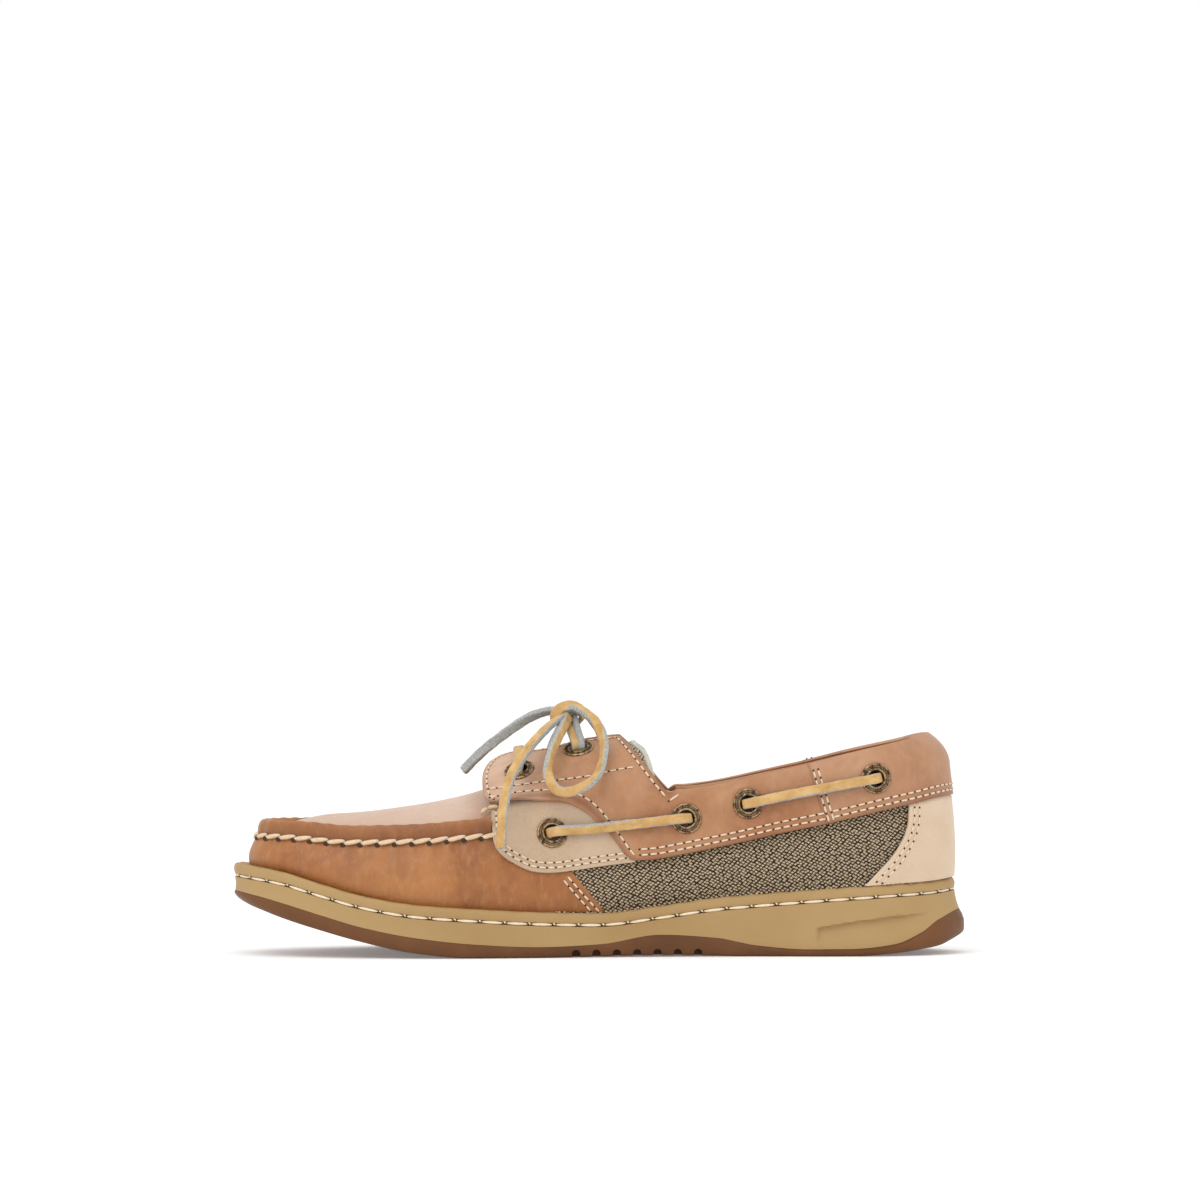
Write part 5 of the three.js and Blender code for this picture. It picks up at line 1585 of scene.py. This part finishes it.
def makeInsole():
    turn = turnsAround(insolePlan["columns"])
    edge = planPoint(turn, np.zeros(turn.shape))
    ledge = lastAt("ledge", shoe["weltLedge"], edge[:, 0]) + flareAt(edge[:, 0])
    inset = ledge + shoe["wall"] + insolePlan["gap"]

    def ring(extra, height):
        place = planPoint(turn, inset + extra * mm)
        return np.concatenate([place, height(place[:, 0])[:, None]], -1)

    def low(x):
        return soleAt("welt", x) + 0.35 * mm

    def high(drop):
        return lambda x: low(x) + insolePlan["thickness"] - drop * mm

    foot = ring(0, low)
    rings = [towardSpine(turn, foot, share, low) for share in (1, 0.6, 0.3)]
    rings += [foot, ring(-0.05, high(0.9)), ring(0.25, high(0.3)), ring(0.9, high(0.02))]
    rim = rings[-1]
    for share in (0.08, 0.2, 0.35, 0.5, 0.65, 0.8, 1):
        rings.append(towardSpine(turn, rim, share, high(1.1 * math.sin(share * math.pi / 2))))
    piece = mouldedGrid("insole_sock", np.array(rings))
    sew(piece)
    return piece


# Lining leather: smooth, pale, with a faint grain
def makeLiningLeather(name, look):
    material, tree, shader = startMaterial(name)
    plain = objectSpace(tree)
    cloud = ramp(tree, noise(tree, plain, look["cloudScale"], 3), 0.35, 0.65)
    color = mixed(tree, cloud, srgb(*look["deep"]), srgb(*look["light"]))
    tree.links.new(color, shader.inputs["Base Color"])
    pores = addNode(tree, "TexVoronoi", {"Vector": plain, "Scale": look["poreScale"]})
    tree.links.new(bumped(tree, pores.outputs["Distance"], look["poreDepth"], 0.5), shader.inputs["Normal"])
    shader.inputs["Roughness"].default_value = 0.7
    return material


liningLook = {
    "deep": (190, 160, 128), "light": (206, 178, 148), "cloudScale": 40, "poreScale": 1300,
    "poreDepth": 0.04 * mm,
}
liningLeather = makeLiningLeather("lining_leather", liningLook)


# Weave on the piece's own map in metres: tan loops with painted shade in the dark gaps between them, set on
# the slant
def makeWeave(name, look):
    material, tree, shader = startMaterial(name)
    flat = addNode(tree, "UVMap").outputs["UV"]
    slanted = {"Vector": flat, "Rotation": (0, 0, look["slant"]), "Scale": look["stretch"]}
    turned = addNode(tree, "Mapping", slanted).outputs["Vector"]
    jitter = noise(tree, flat, look["jitterScale"], 2)
    along = ramp(tree, jitter, 0, 1, 0, look["jitter"])
    across = ramp(tree, jitter, 0, 1, look["jitter"], 0)
    shift = addNode(tree, "CombineXYZ", {"X": along, "Y": across}).outputs[0]
    shifted = addNode(tree, "VectorMath", {0: turned, 1: shift}).outputs[0]
    inputs = {"Vector": shifted, "Scale": look["cellScale"], "Randomness": look["random"]}
    cells = addNode(tree, "TexVoronoi", inputs, distance="CHEBYCHEV").outputs["Distance"]
    loops = ramp(tree, cells, look["gap"], look["body"])
    fuzz = noise(tree, flat, look["yarnScale"], 2)
    yarn = mixed(tree, fuzz, srgb(*look["yarnDeep"]), srgb(*look["yarnLight"]))
    color = mixed(tree, loops, yarn, srgb(*look["gapShade"]))
    tree.links.new(color, shader.inputs["Base Color"])
    relief = {"Height": loops, "Distance": look["depth"], "Strength": 1.0}
    tree.links.new(addNode(tree, "Bump", relief, invert=True).outputs["Normal"], shader.inputs["Normal"])
    shader.inputs["Roughness"].default_value = 0.85
    shader.inputs["Specular IOR Level"].default_value = 0.2
    return material


sideWeaveLook = {
    "slant": 0.6, "stretch": (1, 1.5, 1), "jitterScale": 300, "jitter": 0.0004, "cellScale": 720,
    "random": 0.3, "gap": 0.26, "body": 0.44, "yarnScale": 700, "yarnDeep": (140, 114, 80),
    "yarnLight": (222, 202, 172), "gapShade": (28, 22, 18), "depth": 0.4 * mm,
}
tongueWeaveLook = {
    **sideWeaveLook, "cellScale": 820, "yarnDeep": (184, 166, 142), "yarnLight": (220, 206, 184),
    "body": 0.5, "slant": 0.2,
}
sideWeave = makeWeave("side_weave", sideWeaveLook)
tongueWeave = makeWeave("tongue_weave", tongueWeaveLook)

wall = finishPiece(makeWall(), "brown_leather", wallLeather, stands=["upper"])
finishPiece(makeRidge(), "brown_leather", wallLeather)
finishPiece(makeApron(), "brown_leather", apronLeather)
lining = finishPiece(makeLining(), "lining", liningLeather, stands=["upper"])
finishPiece(makeCollarRoll(), "brown_leather", quarterLeather)
finishPiece(makeInsole(), "lining", liningLeather, stands=["insole"])
finishPiece(makeTongue(), "woven_mesh", tongueWeave, stands=["tongue"])
print("upper moulded")

quarters, eyestays = {}, {}
for side, word in sideWords.items():
    finishPiece(makeSidePanel(side), "woven_mesh", sideWeave)
    quarter, eyestay = makeQuarter(side), makeEyestay(side)
    quarters[side] = finishPiece(quarter, "brown_leather", quarterLeather, stands=["quarter_" + word])
    eyestays[side] = finishPiece(eyestay, "pale_nubuck", eyestayNubuck, stands=["eyestay_" + word])
collarBack = finishPiece(makeCollarBack(), "brown_leather", quarterLeather, stands=["collar_back"])
counter = finishPiece(makeCounter(), "pale_nubuck", counterNubuck, stands=["counter"])
print("panels laid")

bores = makeBores()
for piece in (*quarters.values(), *eyestays.values(), collarBack, lining):
    cutAway(piece, bores, keep=True)
bpy.data.objects.remove(bores)
for side, word in sideWords.items():
    for place in eyeletPlaces:
        ring = makeEyelet(side, place)
        finishPiece(ring, "antique_brass", brass, stands=[f"eyelet_{word}_{place}"], degrees=60)
print("eyelets set")


# Laces through the eyelets
strandSize = {"width": 2.7 * mm, "thickness": 1.7 * mm}
rimTop = 0.9 * mm
laceOver = rimTop + laceSize["thickness"] / 2 + 0.1 * mm
bars = {
    "front": ("stay", "collar_front", (-0.75, -0.35, 0.2)),
    "rear": ("collar_mid", "collar_rear", (0.2, 0.35, 0.2)),
}


# Out of one eyelet, over its rim, along the leather and into the other. lean tips the grain side up or
# down at the start, in the middle and at the end.
def barRoute(side, start, end, lean):
    (first, firstNormal), (second, secondNormal) = eyeletSpot(side, start), eyeletSpot(side, end)
    way = unit(second - first)

    def leaving(place, normal, sign):
        ahead = sign * way * mm
        return [
            place - 3.2 * mm * normal - 1.1 * ahead, place + 0.6 * mm * normal - 1 * ahead,
            place + (laceOver - 0.5 * mm) * normal + 0.6 * ahead, place + laceOver * normal + 3.2 * ahead,
        ]

    shares = np.array([0.3, 0.5, 0.7])
    flat = (1 - shares)[:, None] * first[[0, 2]] + shares[:, None] * second[[0, 2]]
    spots = sideSpot(side, flat)
    out = quarterPlan["out"] + laceSize["thickness"] / 2 + 0.9 * mm
    middle, normals = skinPoint(spots[:, 0], spots[:, 1], out)
    route = [*leaving(first, firstNormal, 1), *middle, *leaving(second, secondNormal, -1)[::-1]]
    facing = np.array([
        firstNormal - 1.5 * way, firstNormal - 1.5 * way, firstNormal - 0.5 * way, firstNormal, *normals,
        secondNormal, secondNormal + 0.5 * way, secondNormal + 1.5 * way, secondNormal + 1.5 * way,
    ])
    tips = [0, lean[0], lean[0], lean[1], lean[2], 0]
    facing[:, 2] += np.interp(np.arange(len(facing)), [0, 2, 3, 5, 8, 10], tips)
    return np.array(route), facing


# Out of the front eyelet of one flap, over the throat and into that of the other
def throatRoute():
    along, high = eyeletPlaces["flap_front"][:2]
    sides = []
    for side in (medial, lateral):
        place, normal = eyeletSpot(side, "flap_front")
        up = acrossNormal(normal)[1]
        climbs = np.array([0.03, 0.046, 0.06])
        flat = np.stack([np.full(3, float(alongX(along))), (high + climbs) * shoe["collarHeight"]], -1)
        spots = sideSpot(side, flat, True)
        out = quarterPlan["out"] + laceSize["thickness"] / 2 + np.array([0.7, 0.9, 0.9]) * mm
        rising, normals = skinPoint(spots[:, 0], spots[:, 1], out, True)
        sides.append((
            [place - 3.2 * mm * normal - 1.1 * mm * up, place + 0.6 * mm * normal - 1 * mm * up,
             place + laceOver * normal + 0.8 * mm * up, *rising],
            [normal - 1.5 * up, normal - 1.5 * up, normal - 0.4 * up, *normals],
        ))
    near, far = sides
    top = (near[0][-1] + far[0][-1]) / 2 + [0, 0, 0.4 * mm]
    route = [*near[0], top, *far[0][::-1]]
    facing = [*near[1], np.array([0, 0, 1.0]), *far[1][::-1]]
    return np.array(route), np.array(facing)


# Two strands a side rise from the rear eyelet of the flap to the knot: one shows its grain, one its flesh
def strandRoute(side, shift, end):
    place, normal = eyeletSpot(side, "flap_rear")
    start = place + np.array([shift, 0, 0]) * mm
    up = np.array([0, 0, 1.0])
    knot = np.array(end) * mm
    lip = start + 1.4 * mm * normal + 0.8 * mm * up
    middle = (lip + knot) / 2 + side * np.array([0, 0.8, 0]) * mm
    return np.array([start - 3 * mm * normal - 0.6 * mm * up, start - 0.4 * mm * up, lip, middle, knot])


def makeThreadedLaces():
    for side, word in sideWords.items():
        for node, (start, end, lean) in bars.items():
            bar = laceStrip(f"lace_bar_{word}_{node}", *barRoute(side, start, end, lean))[0]
            finishLace(bar, f"lace_{word}_{node}")
        strands = [
            ("grain", -1.1, (-82.6, side * 1.2 + 2.5, 85.4), side),
            ("flesh", 1.1, (-79.6, side * 2.4 + 2.5, 85.8), -side),
        ]
        for name, shift, end, look in strands:
            facing = [(0.3, look, 0.2), (0.3, look, 0.3)]
            route = strandRoute(side, shift, end)
            strand = laceStrip(f"lace_strand_{word}_{name}", route, facing, **strandSize)[0]
            finishLace(strand, "lace_bow")
    finishLace(laceStrip("lace_bar_throat", *throatRoute())[0], "lace_throat")


knotWrapRoute = [
    (-84.2, 3.5, 82.6), (-86.2, 0.4, 84), (-86, -1.6, 86.8), (-83.6, -2.2, 89), (-80.4, -2, 89.5),
    (-77.4, -1.2, 88.2), (-76.2, 1.4, 86), (-77.6, 3.6, 83.8),
]
knotWrapFacing = [
    (-0.6, -0.4, -0.8), (-0.8, -0.8, -0.2), (-0.6, -1, 0.3), (-0.3, -1, 0.7), (0.1, -1, 0.8),
    (0.5, -1, 0.5), (0.8, -0.6, 0), (0.5, 0.2, -0.9),
]
knotWrapSize = {"width": 4.4 * mm, "thickness": 1.8 * mm}
knotCore = {"radius": 3 * mm, "stretch": (1.15, 1.3, 0.95)}


def makeKnot():
    wrap = laceStrip("lace_knot_wrap", np.array(knotWrapRoute) * mm, knotWrapFacing, **knotWrapSize)[0]
    finishLace(wrap, "lace_bow")
    angle = np.linspace(0, 2 * math.pi, 33)
    rows = []
    for tilt in np.linspace(-math.pi / 2, math.pi / 2, 15):
        level = np.cos(tilt)
        ball = np.stack([level * np.cos(angle), level * np.sin(angle), np.full(33, math.sin(tilt))], -1)
        rows.append(knotCentre + ball * knotCore["radius"] * np.array(knotCore["stretch"]))
    core = mouldedGrid("lace_knot_core", np.array(rows), flesh=0.3)
    sew(core)
    finishPiece(core, "rawhide", rawhide, stands=["lace_bow"], degrees=80)


# Pale binding along the rear edge of the tongue
bindingLook = {"width": 2 * mm, "thickness": 3 * mm}
paleBinding = makeNubuck("pale_binding", {
    **eyestayLook, "deep": (178, 176, 160), "light": (196, 195, 180), "brushed": (206, 205, 192),
})


def makeBinding():
    route, facing = [], []
    depth = tonguePlan["out"] - tonguePlan["thickness"] / 2
    for side in (medial, lateral):
        spots = tongueRear(side, 24)
        points, normals = skinPoint(spots[:, 0], spots[:, 1], depth)
        route.append(points)
        facing.append(normals)
    overTop = [np.vstack([near, far[::-1][1:]]) for near, far in (route, facing)]
    piece = laceStrip("tongue_binding", *overTop, **bindingLook)[0]
    finishPiece(piece, "lining", paleBinding, stands=["tongue"], degrees=70)


makeBinding()
makeThreadedLaces()
makeKnot()
print("laces threaded")


# Stitches: one low tapered loop of thread, repeated along each row, with a dark disk of painted shade for the
# needle hole at each joint
threadSteps = np.array([0, 0.1, 0.3, 0.5, 0.7, 0.9, 1])
threadSwell = np.array([0.3, 0.72, 0.97, 1, 0.97, 0.72, 0.3])
threadSides = 6


def threadArrays(starts, ends, ups, width, height, arch):
    along = unit(ends - starts)
    side = unit(np.cross(along, ups))
    up = np.cross(side, along)
    angle = np.arange(threadSides) * 2 * math.pi / threadSides
    centre = starts[:, None] + (ends - starts)[:, None] * threadSteps[None, :, None]
    centre = centre + up[:, None] * (arch * np.sin(math.pi * threadSteps))[None, :, None]
    across = np.cos(angle)[None, :, None] * side[:, None] * width / 2
    raised = np.sin(angle)[None, :, None] * up[:, None] * height / 2
    rings = threadSwell[None, :, None, None] * (across + raised)[:, None]
    return (centre[:, :, None] + rings).reshape(-1, 3)


def threadFaces(count, offset):
    rings, sides = len(threadSteps), threadSides
    faces = []
    for index in range(count):
        base = offset + index * rings * sides
        faces.append([base + k for k in range(sides)])
        faces.append([base + rings * sides - 1 - k for k in range(sides)])
        for ring in range(rings - 1):
            for k in range(sides):
                low, high = base + ring * sides, base + (ring + 1) * sides
                faces.append([low + k, high + k, high + (k + 1) % sides, low + (k + 1) % sides])
    return faces


def holeArrays(centres, alongs, ups, size, lift):
    side = unit(np.cross(alongs, ups))
    up = unit(np.cross(side, alongs))
    angle = np.arange(8) * math.pi / 4
    rim = np.cos(angle)[None, :, None] * side[:, None] * size[1] / 2
    rim = rim + np.sin(angle)[None, :, None] * unit(alongs)[:, None] * size[0] / 2
    return (centres[:, None] + up[:, None] * lift + rim).reshape(-1, 3)


# One mesh from rows of threads: each row is starts, ends, ups, and the holes' centres, ways and ups
def sewnMesh(name, rows, look):
    points, faces, slots = [], [], []
    for starts, ends, ups, centres, ways, holeUps in rows:
        offset = sum(len(p) for p in points)
        points.append(threadArrays(starts, ends, ups, look["width"], look["height"], look["arch"]))
        made = threadFaces(len(starts), offset)
        faces += made
        slots += [0] * len(made)
        offset += len(points[-1])
        points.append(holeArrays(centres, ways, holeUps, look["hole"], look["holeLift"]))
        faces += [[offset + 8 * index + k for k in range(8)] for index in range(len(centres))]
        slots += [1] * len(centres)
    mesh = bpy.data.meshes.new(name)
    mesh.from_pydata(np.vstack(points).tolist(), [], faces)
    mesh.polygons.foreach_set("material_index", slots)
    piece = bpy.data.objects.new(name, mesh)
    bpy.context.scene.collection.objects.link(piece)
    return piece


def treeOf(piece):
    corners = np.empty(3 * len(piece.data.vertices))
    piece.data.vertices.foreach_get("co", corners)
    faces = [tuple(p.vertices) for p in piece.data.polygons]
    return BVHTree.FromPolygons(corners.reshape(-1, 3).tolist(), faces)


# Places and ups along a row, seated on a panel. What misses the panel is left out.
def seatRow(tree, line, normals, pitch):
    walk = walkAlong(line)
    count = max(1, round(walk[-1] / pitch))
    at = np.linspace(0, walk[-1], count + 1)
    places = np.stack([np.interp(at, walk, line[:, k]) for k in range(3)], -1)
    ups = unit(np.stack([np.interp(at, walk, normals[:, k]) for k in range(3)], -1))
    seated, kept = [], []
    for place, up in zip(places, ups):
        hit = tree.ray_cast(Vector(place + up * 5 * mm), Vector(-up), 9 * mm)[0]
        kept.append(hit is not None)
        seated.append(np.array(hit) if hit is not None else place)
    return np.array(seated), ups, np.array(kept)


def stitchRow(tree, line, normals, look):
    seated, ups, kept = seatRow(tree, line, normals, look["pitch"])
    both = kept[:-1] & kept[1:]
    ways = unit(seated[1:] - seated[:-1])
    starts = (seated[:-1] + ways * look["gap"] + ups[:-1] * look["sit"])[both]
    ends = (seated[1:] - ways * look["gap"] + ups[1:] * look["sit"])[both]
    middles = unit(ups[:-1] + ups[1:])[both]
    joints = kept[:-1]
    return starts, ends, middles, seated[:-1][joints], ways[joints], ups[:-1][joints]


# A line on the last, moved sideways: toward the top of the shoe where it runs to the heel
def insetLine(spots, out, lifted, distance, side):
    points, normals = skinPoint(spots[:, 0], spots[:, 1], out, lifted)
    aside = unit(np.cross(normals, unit(np.gradient(points, axis=0)))) * -side
    return points + aside * distance * mm, normals


def lineSpots(side, line, lifted=False, count=60):
    return sideSpot(side, smoothLine(np.array(line) * mm, count), lifted)


# The same, moved toward the heel as seen from the side
def besideLine(side, line, distance, count=40):
    flat = smoothLine(np.array(line) * mm, count)
    way = unit(np.gradient(flat, axis=0))
    return sideSpot(side, flat + distance * mm * np.stack([way[:, 1], -way[:, 0]], -1))


leatherStitch = {
    "pitch": 3.2 * mm, "gap": 0.36 * mm, "sit": 0.1 * mm, "width": 0.68 * mm, "height": 0.5 * mm,
    "arch": 0.14 * mm, "hole": (1 * mm, 0.72 * mm), "holeLift": 0.11 * mm,
}
# Rows that follow no edge, across the flap and in the notch of the topline, and where the heel's rows start
stitchLines = {
    "across": [(-109.5, 58.6), (-93.3, 61.1), (-75.8, 63.3), (-67.5, 65.1), (-57.6, 66.8)],
    "notch": [(-45.3, 55.4), (-43.4, 56.6), (-41.4, 57.8)],
    "heelStart": (14, 48.5),
}


def sewRow(tree, side, spots, out, distance, lifted=False):
    return stitchRow(tree, *insetLine(spots, out, lifted, distance, side), leatherStitch)


def finishStitches(name, rows):
    finishPiece(sewnMesh(name, rows, leatherStitch), "rawhide", seamThread, needleHoleShade, degrees=70)


def makePanelStitches():
    for side, word in sideWords.items():
        quarterTree, stayTree = treeOf(quarters[side]), treeOf(eyestays[side])
        rim = np.vstack([lineSpots(side, seams["flapFront"], True, 20), flapTopSpots(side, 90)[1:]])
        lower = lineSpots(side, seams["flapLower"], True)
        band = lineSpots(side, seams["bandLower"][1:], True)
        across = lineSpots(side, stitchLines["across"], True)
        notch = lineSpots(side, stitchLines["notch"], True, 6)
        plan = [(rim, -1.8), (lower, 2.1), (band, 1.8), (band, 3.9), (across, 0), (notch, 0)]
        rows = [sewRow(quarterTree, side, spots, quarterPlan["out"], d, True) for spots, d in plan]
        stayFront = lineSpots(side, seams["eyestayFront"][:4], False, 30)[::-1]
        stay = np.vstack([stayFront, lineSpots(side, seams["eyestayLower"])[1:]])
        rows += [sewRow(stayTree, side, stay, eyestayPlan["out"], d) for d in (1.7, 3.5)]
        rear = lineSpots(side, seams["wallRear"], False, 30)
        rows += [sewRow(wallTree, side, rear, 0, d) for d in (2.4, 4.4)]
        for distance in (1.8, 3.6):
            front = besideLine(side, counterFront[1:], distance)
            rows.append(sewRow(counterTree, side, front, counterPlan["out"], 0))
        seam = lineSpots(side, collarFront, False, 30)
        rows += [sewRow(collarTree, side, seam, collarPlan["out"], d) for d in (1.6, 3.4)]
        finishStitches("stitches_" + word, rows)
    ends = [sideSpot(side, np.array([stitchLines["heelStart"]]) * mm)[0, 0] for side in (medial, lateral)]
    turn = np.linspace(*ends, 160)
    spots = np.stack([turn, riseAtHeight(turn, lowerHeight)], -1)
    rows = [sewRow(collarTree, medial, spots, collarPlan["out"], d) for d in (1.8, 3.9)]
    finishStitches("stitches_heel", rows)


wallTree, counterTree, collarTree = treeOf(wall), treeOf(counter), treeOf(collarBack)
makePanelStitches()
print("panels stitched")


# Thick cords round the toe, each from low at its toe end to high at its heel end
whipStitch = {
    "width": 1.7 * mm, "height": 1.7 * mm, "arch": 0.35 * mm, "slope": 0.62 * mm, "out": 0.75 * mm,
    "lap": 0.6 * mm, "hole": (2.2 * mm, 1.7 * mm), "holeLift": 0.75 * mm, "drop": 0.2 * mm,
    "end": -105 * mm, "curl": [(-112.4, 49.6), (-109.8, 51.6), (-106.2, 52.4)],
}


def makeWhipStitches():
    turns = ridgeTurns(600, whipStitch["end"])
    walks = ridgeWalk(turns)
    pitch = wallPlan["puckerPitch"]
    joints = np.arange(math.ceil(walks[0] / pitch), math.floor(walks[-1] / pitch) + 1) * pitch
    turn = np.interp(joints, walks, turns)
    places, normals = shoulderRow(turn)
    places = places - [0, 0, whipStitch["drop"]]
    ways = unit(places[1:] - places[:-1])
    toHeel = np.sign(joints[:-1] + joints[1:])[:, None]
    climb = toHeel * np.array([0, 0, whipStitch["slope"]])
    outward = unit(normals[:-1] + normals[1:])
    sit = outward * whipStitch["out"]
    starts = places[:-1] + sit - climb - ways * whipStitch["lap"]
    ends = places[1:] + sit + climb + ways * whipStitch["lap"]
    low = places - [0, 0, 0.95 * mm]
    rows = [(starts, ends, outward, low[:-1] + normals[:-1] * whipStitch["holeLift"], ways, normals[:-1])]
    for side in (medial, lateral):
        line = np.array(whipStitch["curl"]) * mm
        spots = sideSpot(side, line)
        curl, ups = skinPoint(spots[:, 0], spots[:, 1], 1.9 * mm)
        rows.append((curl[:-1], curl[1:], ups[:-1], curl[:0], curl[:0], ups[:0]))
    piece = sewnMesh("whip_stitches", rows, whipStitch)
    finishPiece(piece, "rawhide", whipThread, needleHoleShade, degrees=80)


# Long threads in the groove of the welt, with a short raised turn of thread at each hole
weltStitch = {
    "width": 1.15 * mm, "height": 0.8 * mm, "arch": 0.15 * mm, "inset": 0.72, "drop": 4.2, "gap": 0.75 * mm,
    "hole": (1.1 * mm, 0.9 * mm), "holeLift": 0.1 * mm, "bump": 0.5 * mm,
}


def makeWeltStitches():
    turns = turnsAround(midsoleLook["columns"])
    walks = weltWalk(turns)
    joints = np.arange(weltStitchCount() + 1) * walks[-1] / weltStitchCount()
    turn = np.interp(joints, walks, turns)

    def height(x):
        return soleAt("welt", x) - weltStitch["drop"] * mm

    places = soleRing(turn, weltStitch["inset"], 0.85, height)
    away = -unit(spinePoint(turn) - places[:, :2])
    tangent = np.gradient(places, axis=0)
    square = np.stack([tangent[:, 1], -tangent[:, 0], 0 * tangent[:, 0]], -1)
    outward = unit(square) * np.sign((away * square[:, :2]).sum(-1))[:, None]
    ways = unit(places[1:] - places[:-1])
    starts, ends = places[:-1] + ways * weltStitch["gap"], places[1:] - ways * weltStitch["gap"]
    ups = unit(outward[:-1] + outward[1:])
    row = (starts, ends, ups, places[:-1], ways, outward[:-1])
    rise = np.array([0, 0, weltStitch["bump"]])
    knotStarts, knotEnds = places[:-1] - ways * 0.2 * mm, places[:-1] + rise + ways * 0.25 * mm
    bumps = (knotStarts, knotEnds, outward[:-1], places[:0], ways[:0], outward[:0])
    piece = sewnMesh("welt_stitches", [row, bumps], weltStitch)
    finishPiece(piece, "rawhide", weltThread, needleHoleShade, degrees=80)


makeWhipStitches()
makeWeltStitches()
print("welt and toe stitched")


# Floor and light
studio = {
    "floorSize": 12, "floorGlow": 0.16, "world": 1.0, "keyPower": 9, "keyPlace": (-0.5, -0.9, 1.5),
    "keySize": 1.2,
}


def makeFloor():
    deselectAll()
    bpy.ops.mesh.primitive_plane_add(size=studio["floorSize"], location=(0, 0, 0))
    floor = bpy.context.object
    floor.name = "studio_floor"
    material, tree, shader = startMaterial("studio_white")
    shade = ramp(tree, noise(tree, objectSpace(tree), 2), 0, 1, 0.9, 0.92)
    tree.links.new(shade, shader.inputs["Base Color"])
    shader.inputs["Emission Color"].default_value = (1, 1, 1, 1)
    shader.inputs["Emission Strength"].default_value = studio["floorGlow"]
    shader.inputs["Roughness"].default_value = 0.9
    floor.data.materials.append(material)


def makeLights():
    world = bpy.data.worlds.new("studio")
    bpy.context.scene.world = world
    world.use_nodes = True
    back = world.node_tree.nodes["Background"]
    back.inputs["Color"].default_value = (1, 1, 1, 1)
    back.inputs["Strength"].default_value = studio["world"]
    bpy.ops.object.light_add(type="AREA", location=studio["keyPlace"])
    key = bpy.context.object
    key.data.size = studio["keySize"]
    key.data.energy = studio["keyPower"]
    key.rotation_euler = (-key.location).to_track_quat("-Z", "Y").to_euler()


makeFloor()
makeLights()
bpy.context.scene.view_settings.view_transform = "Standard"
print("studio ready")
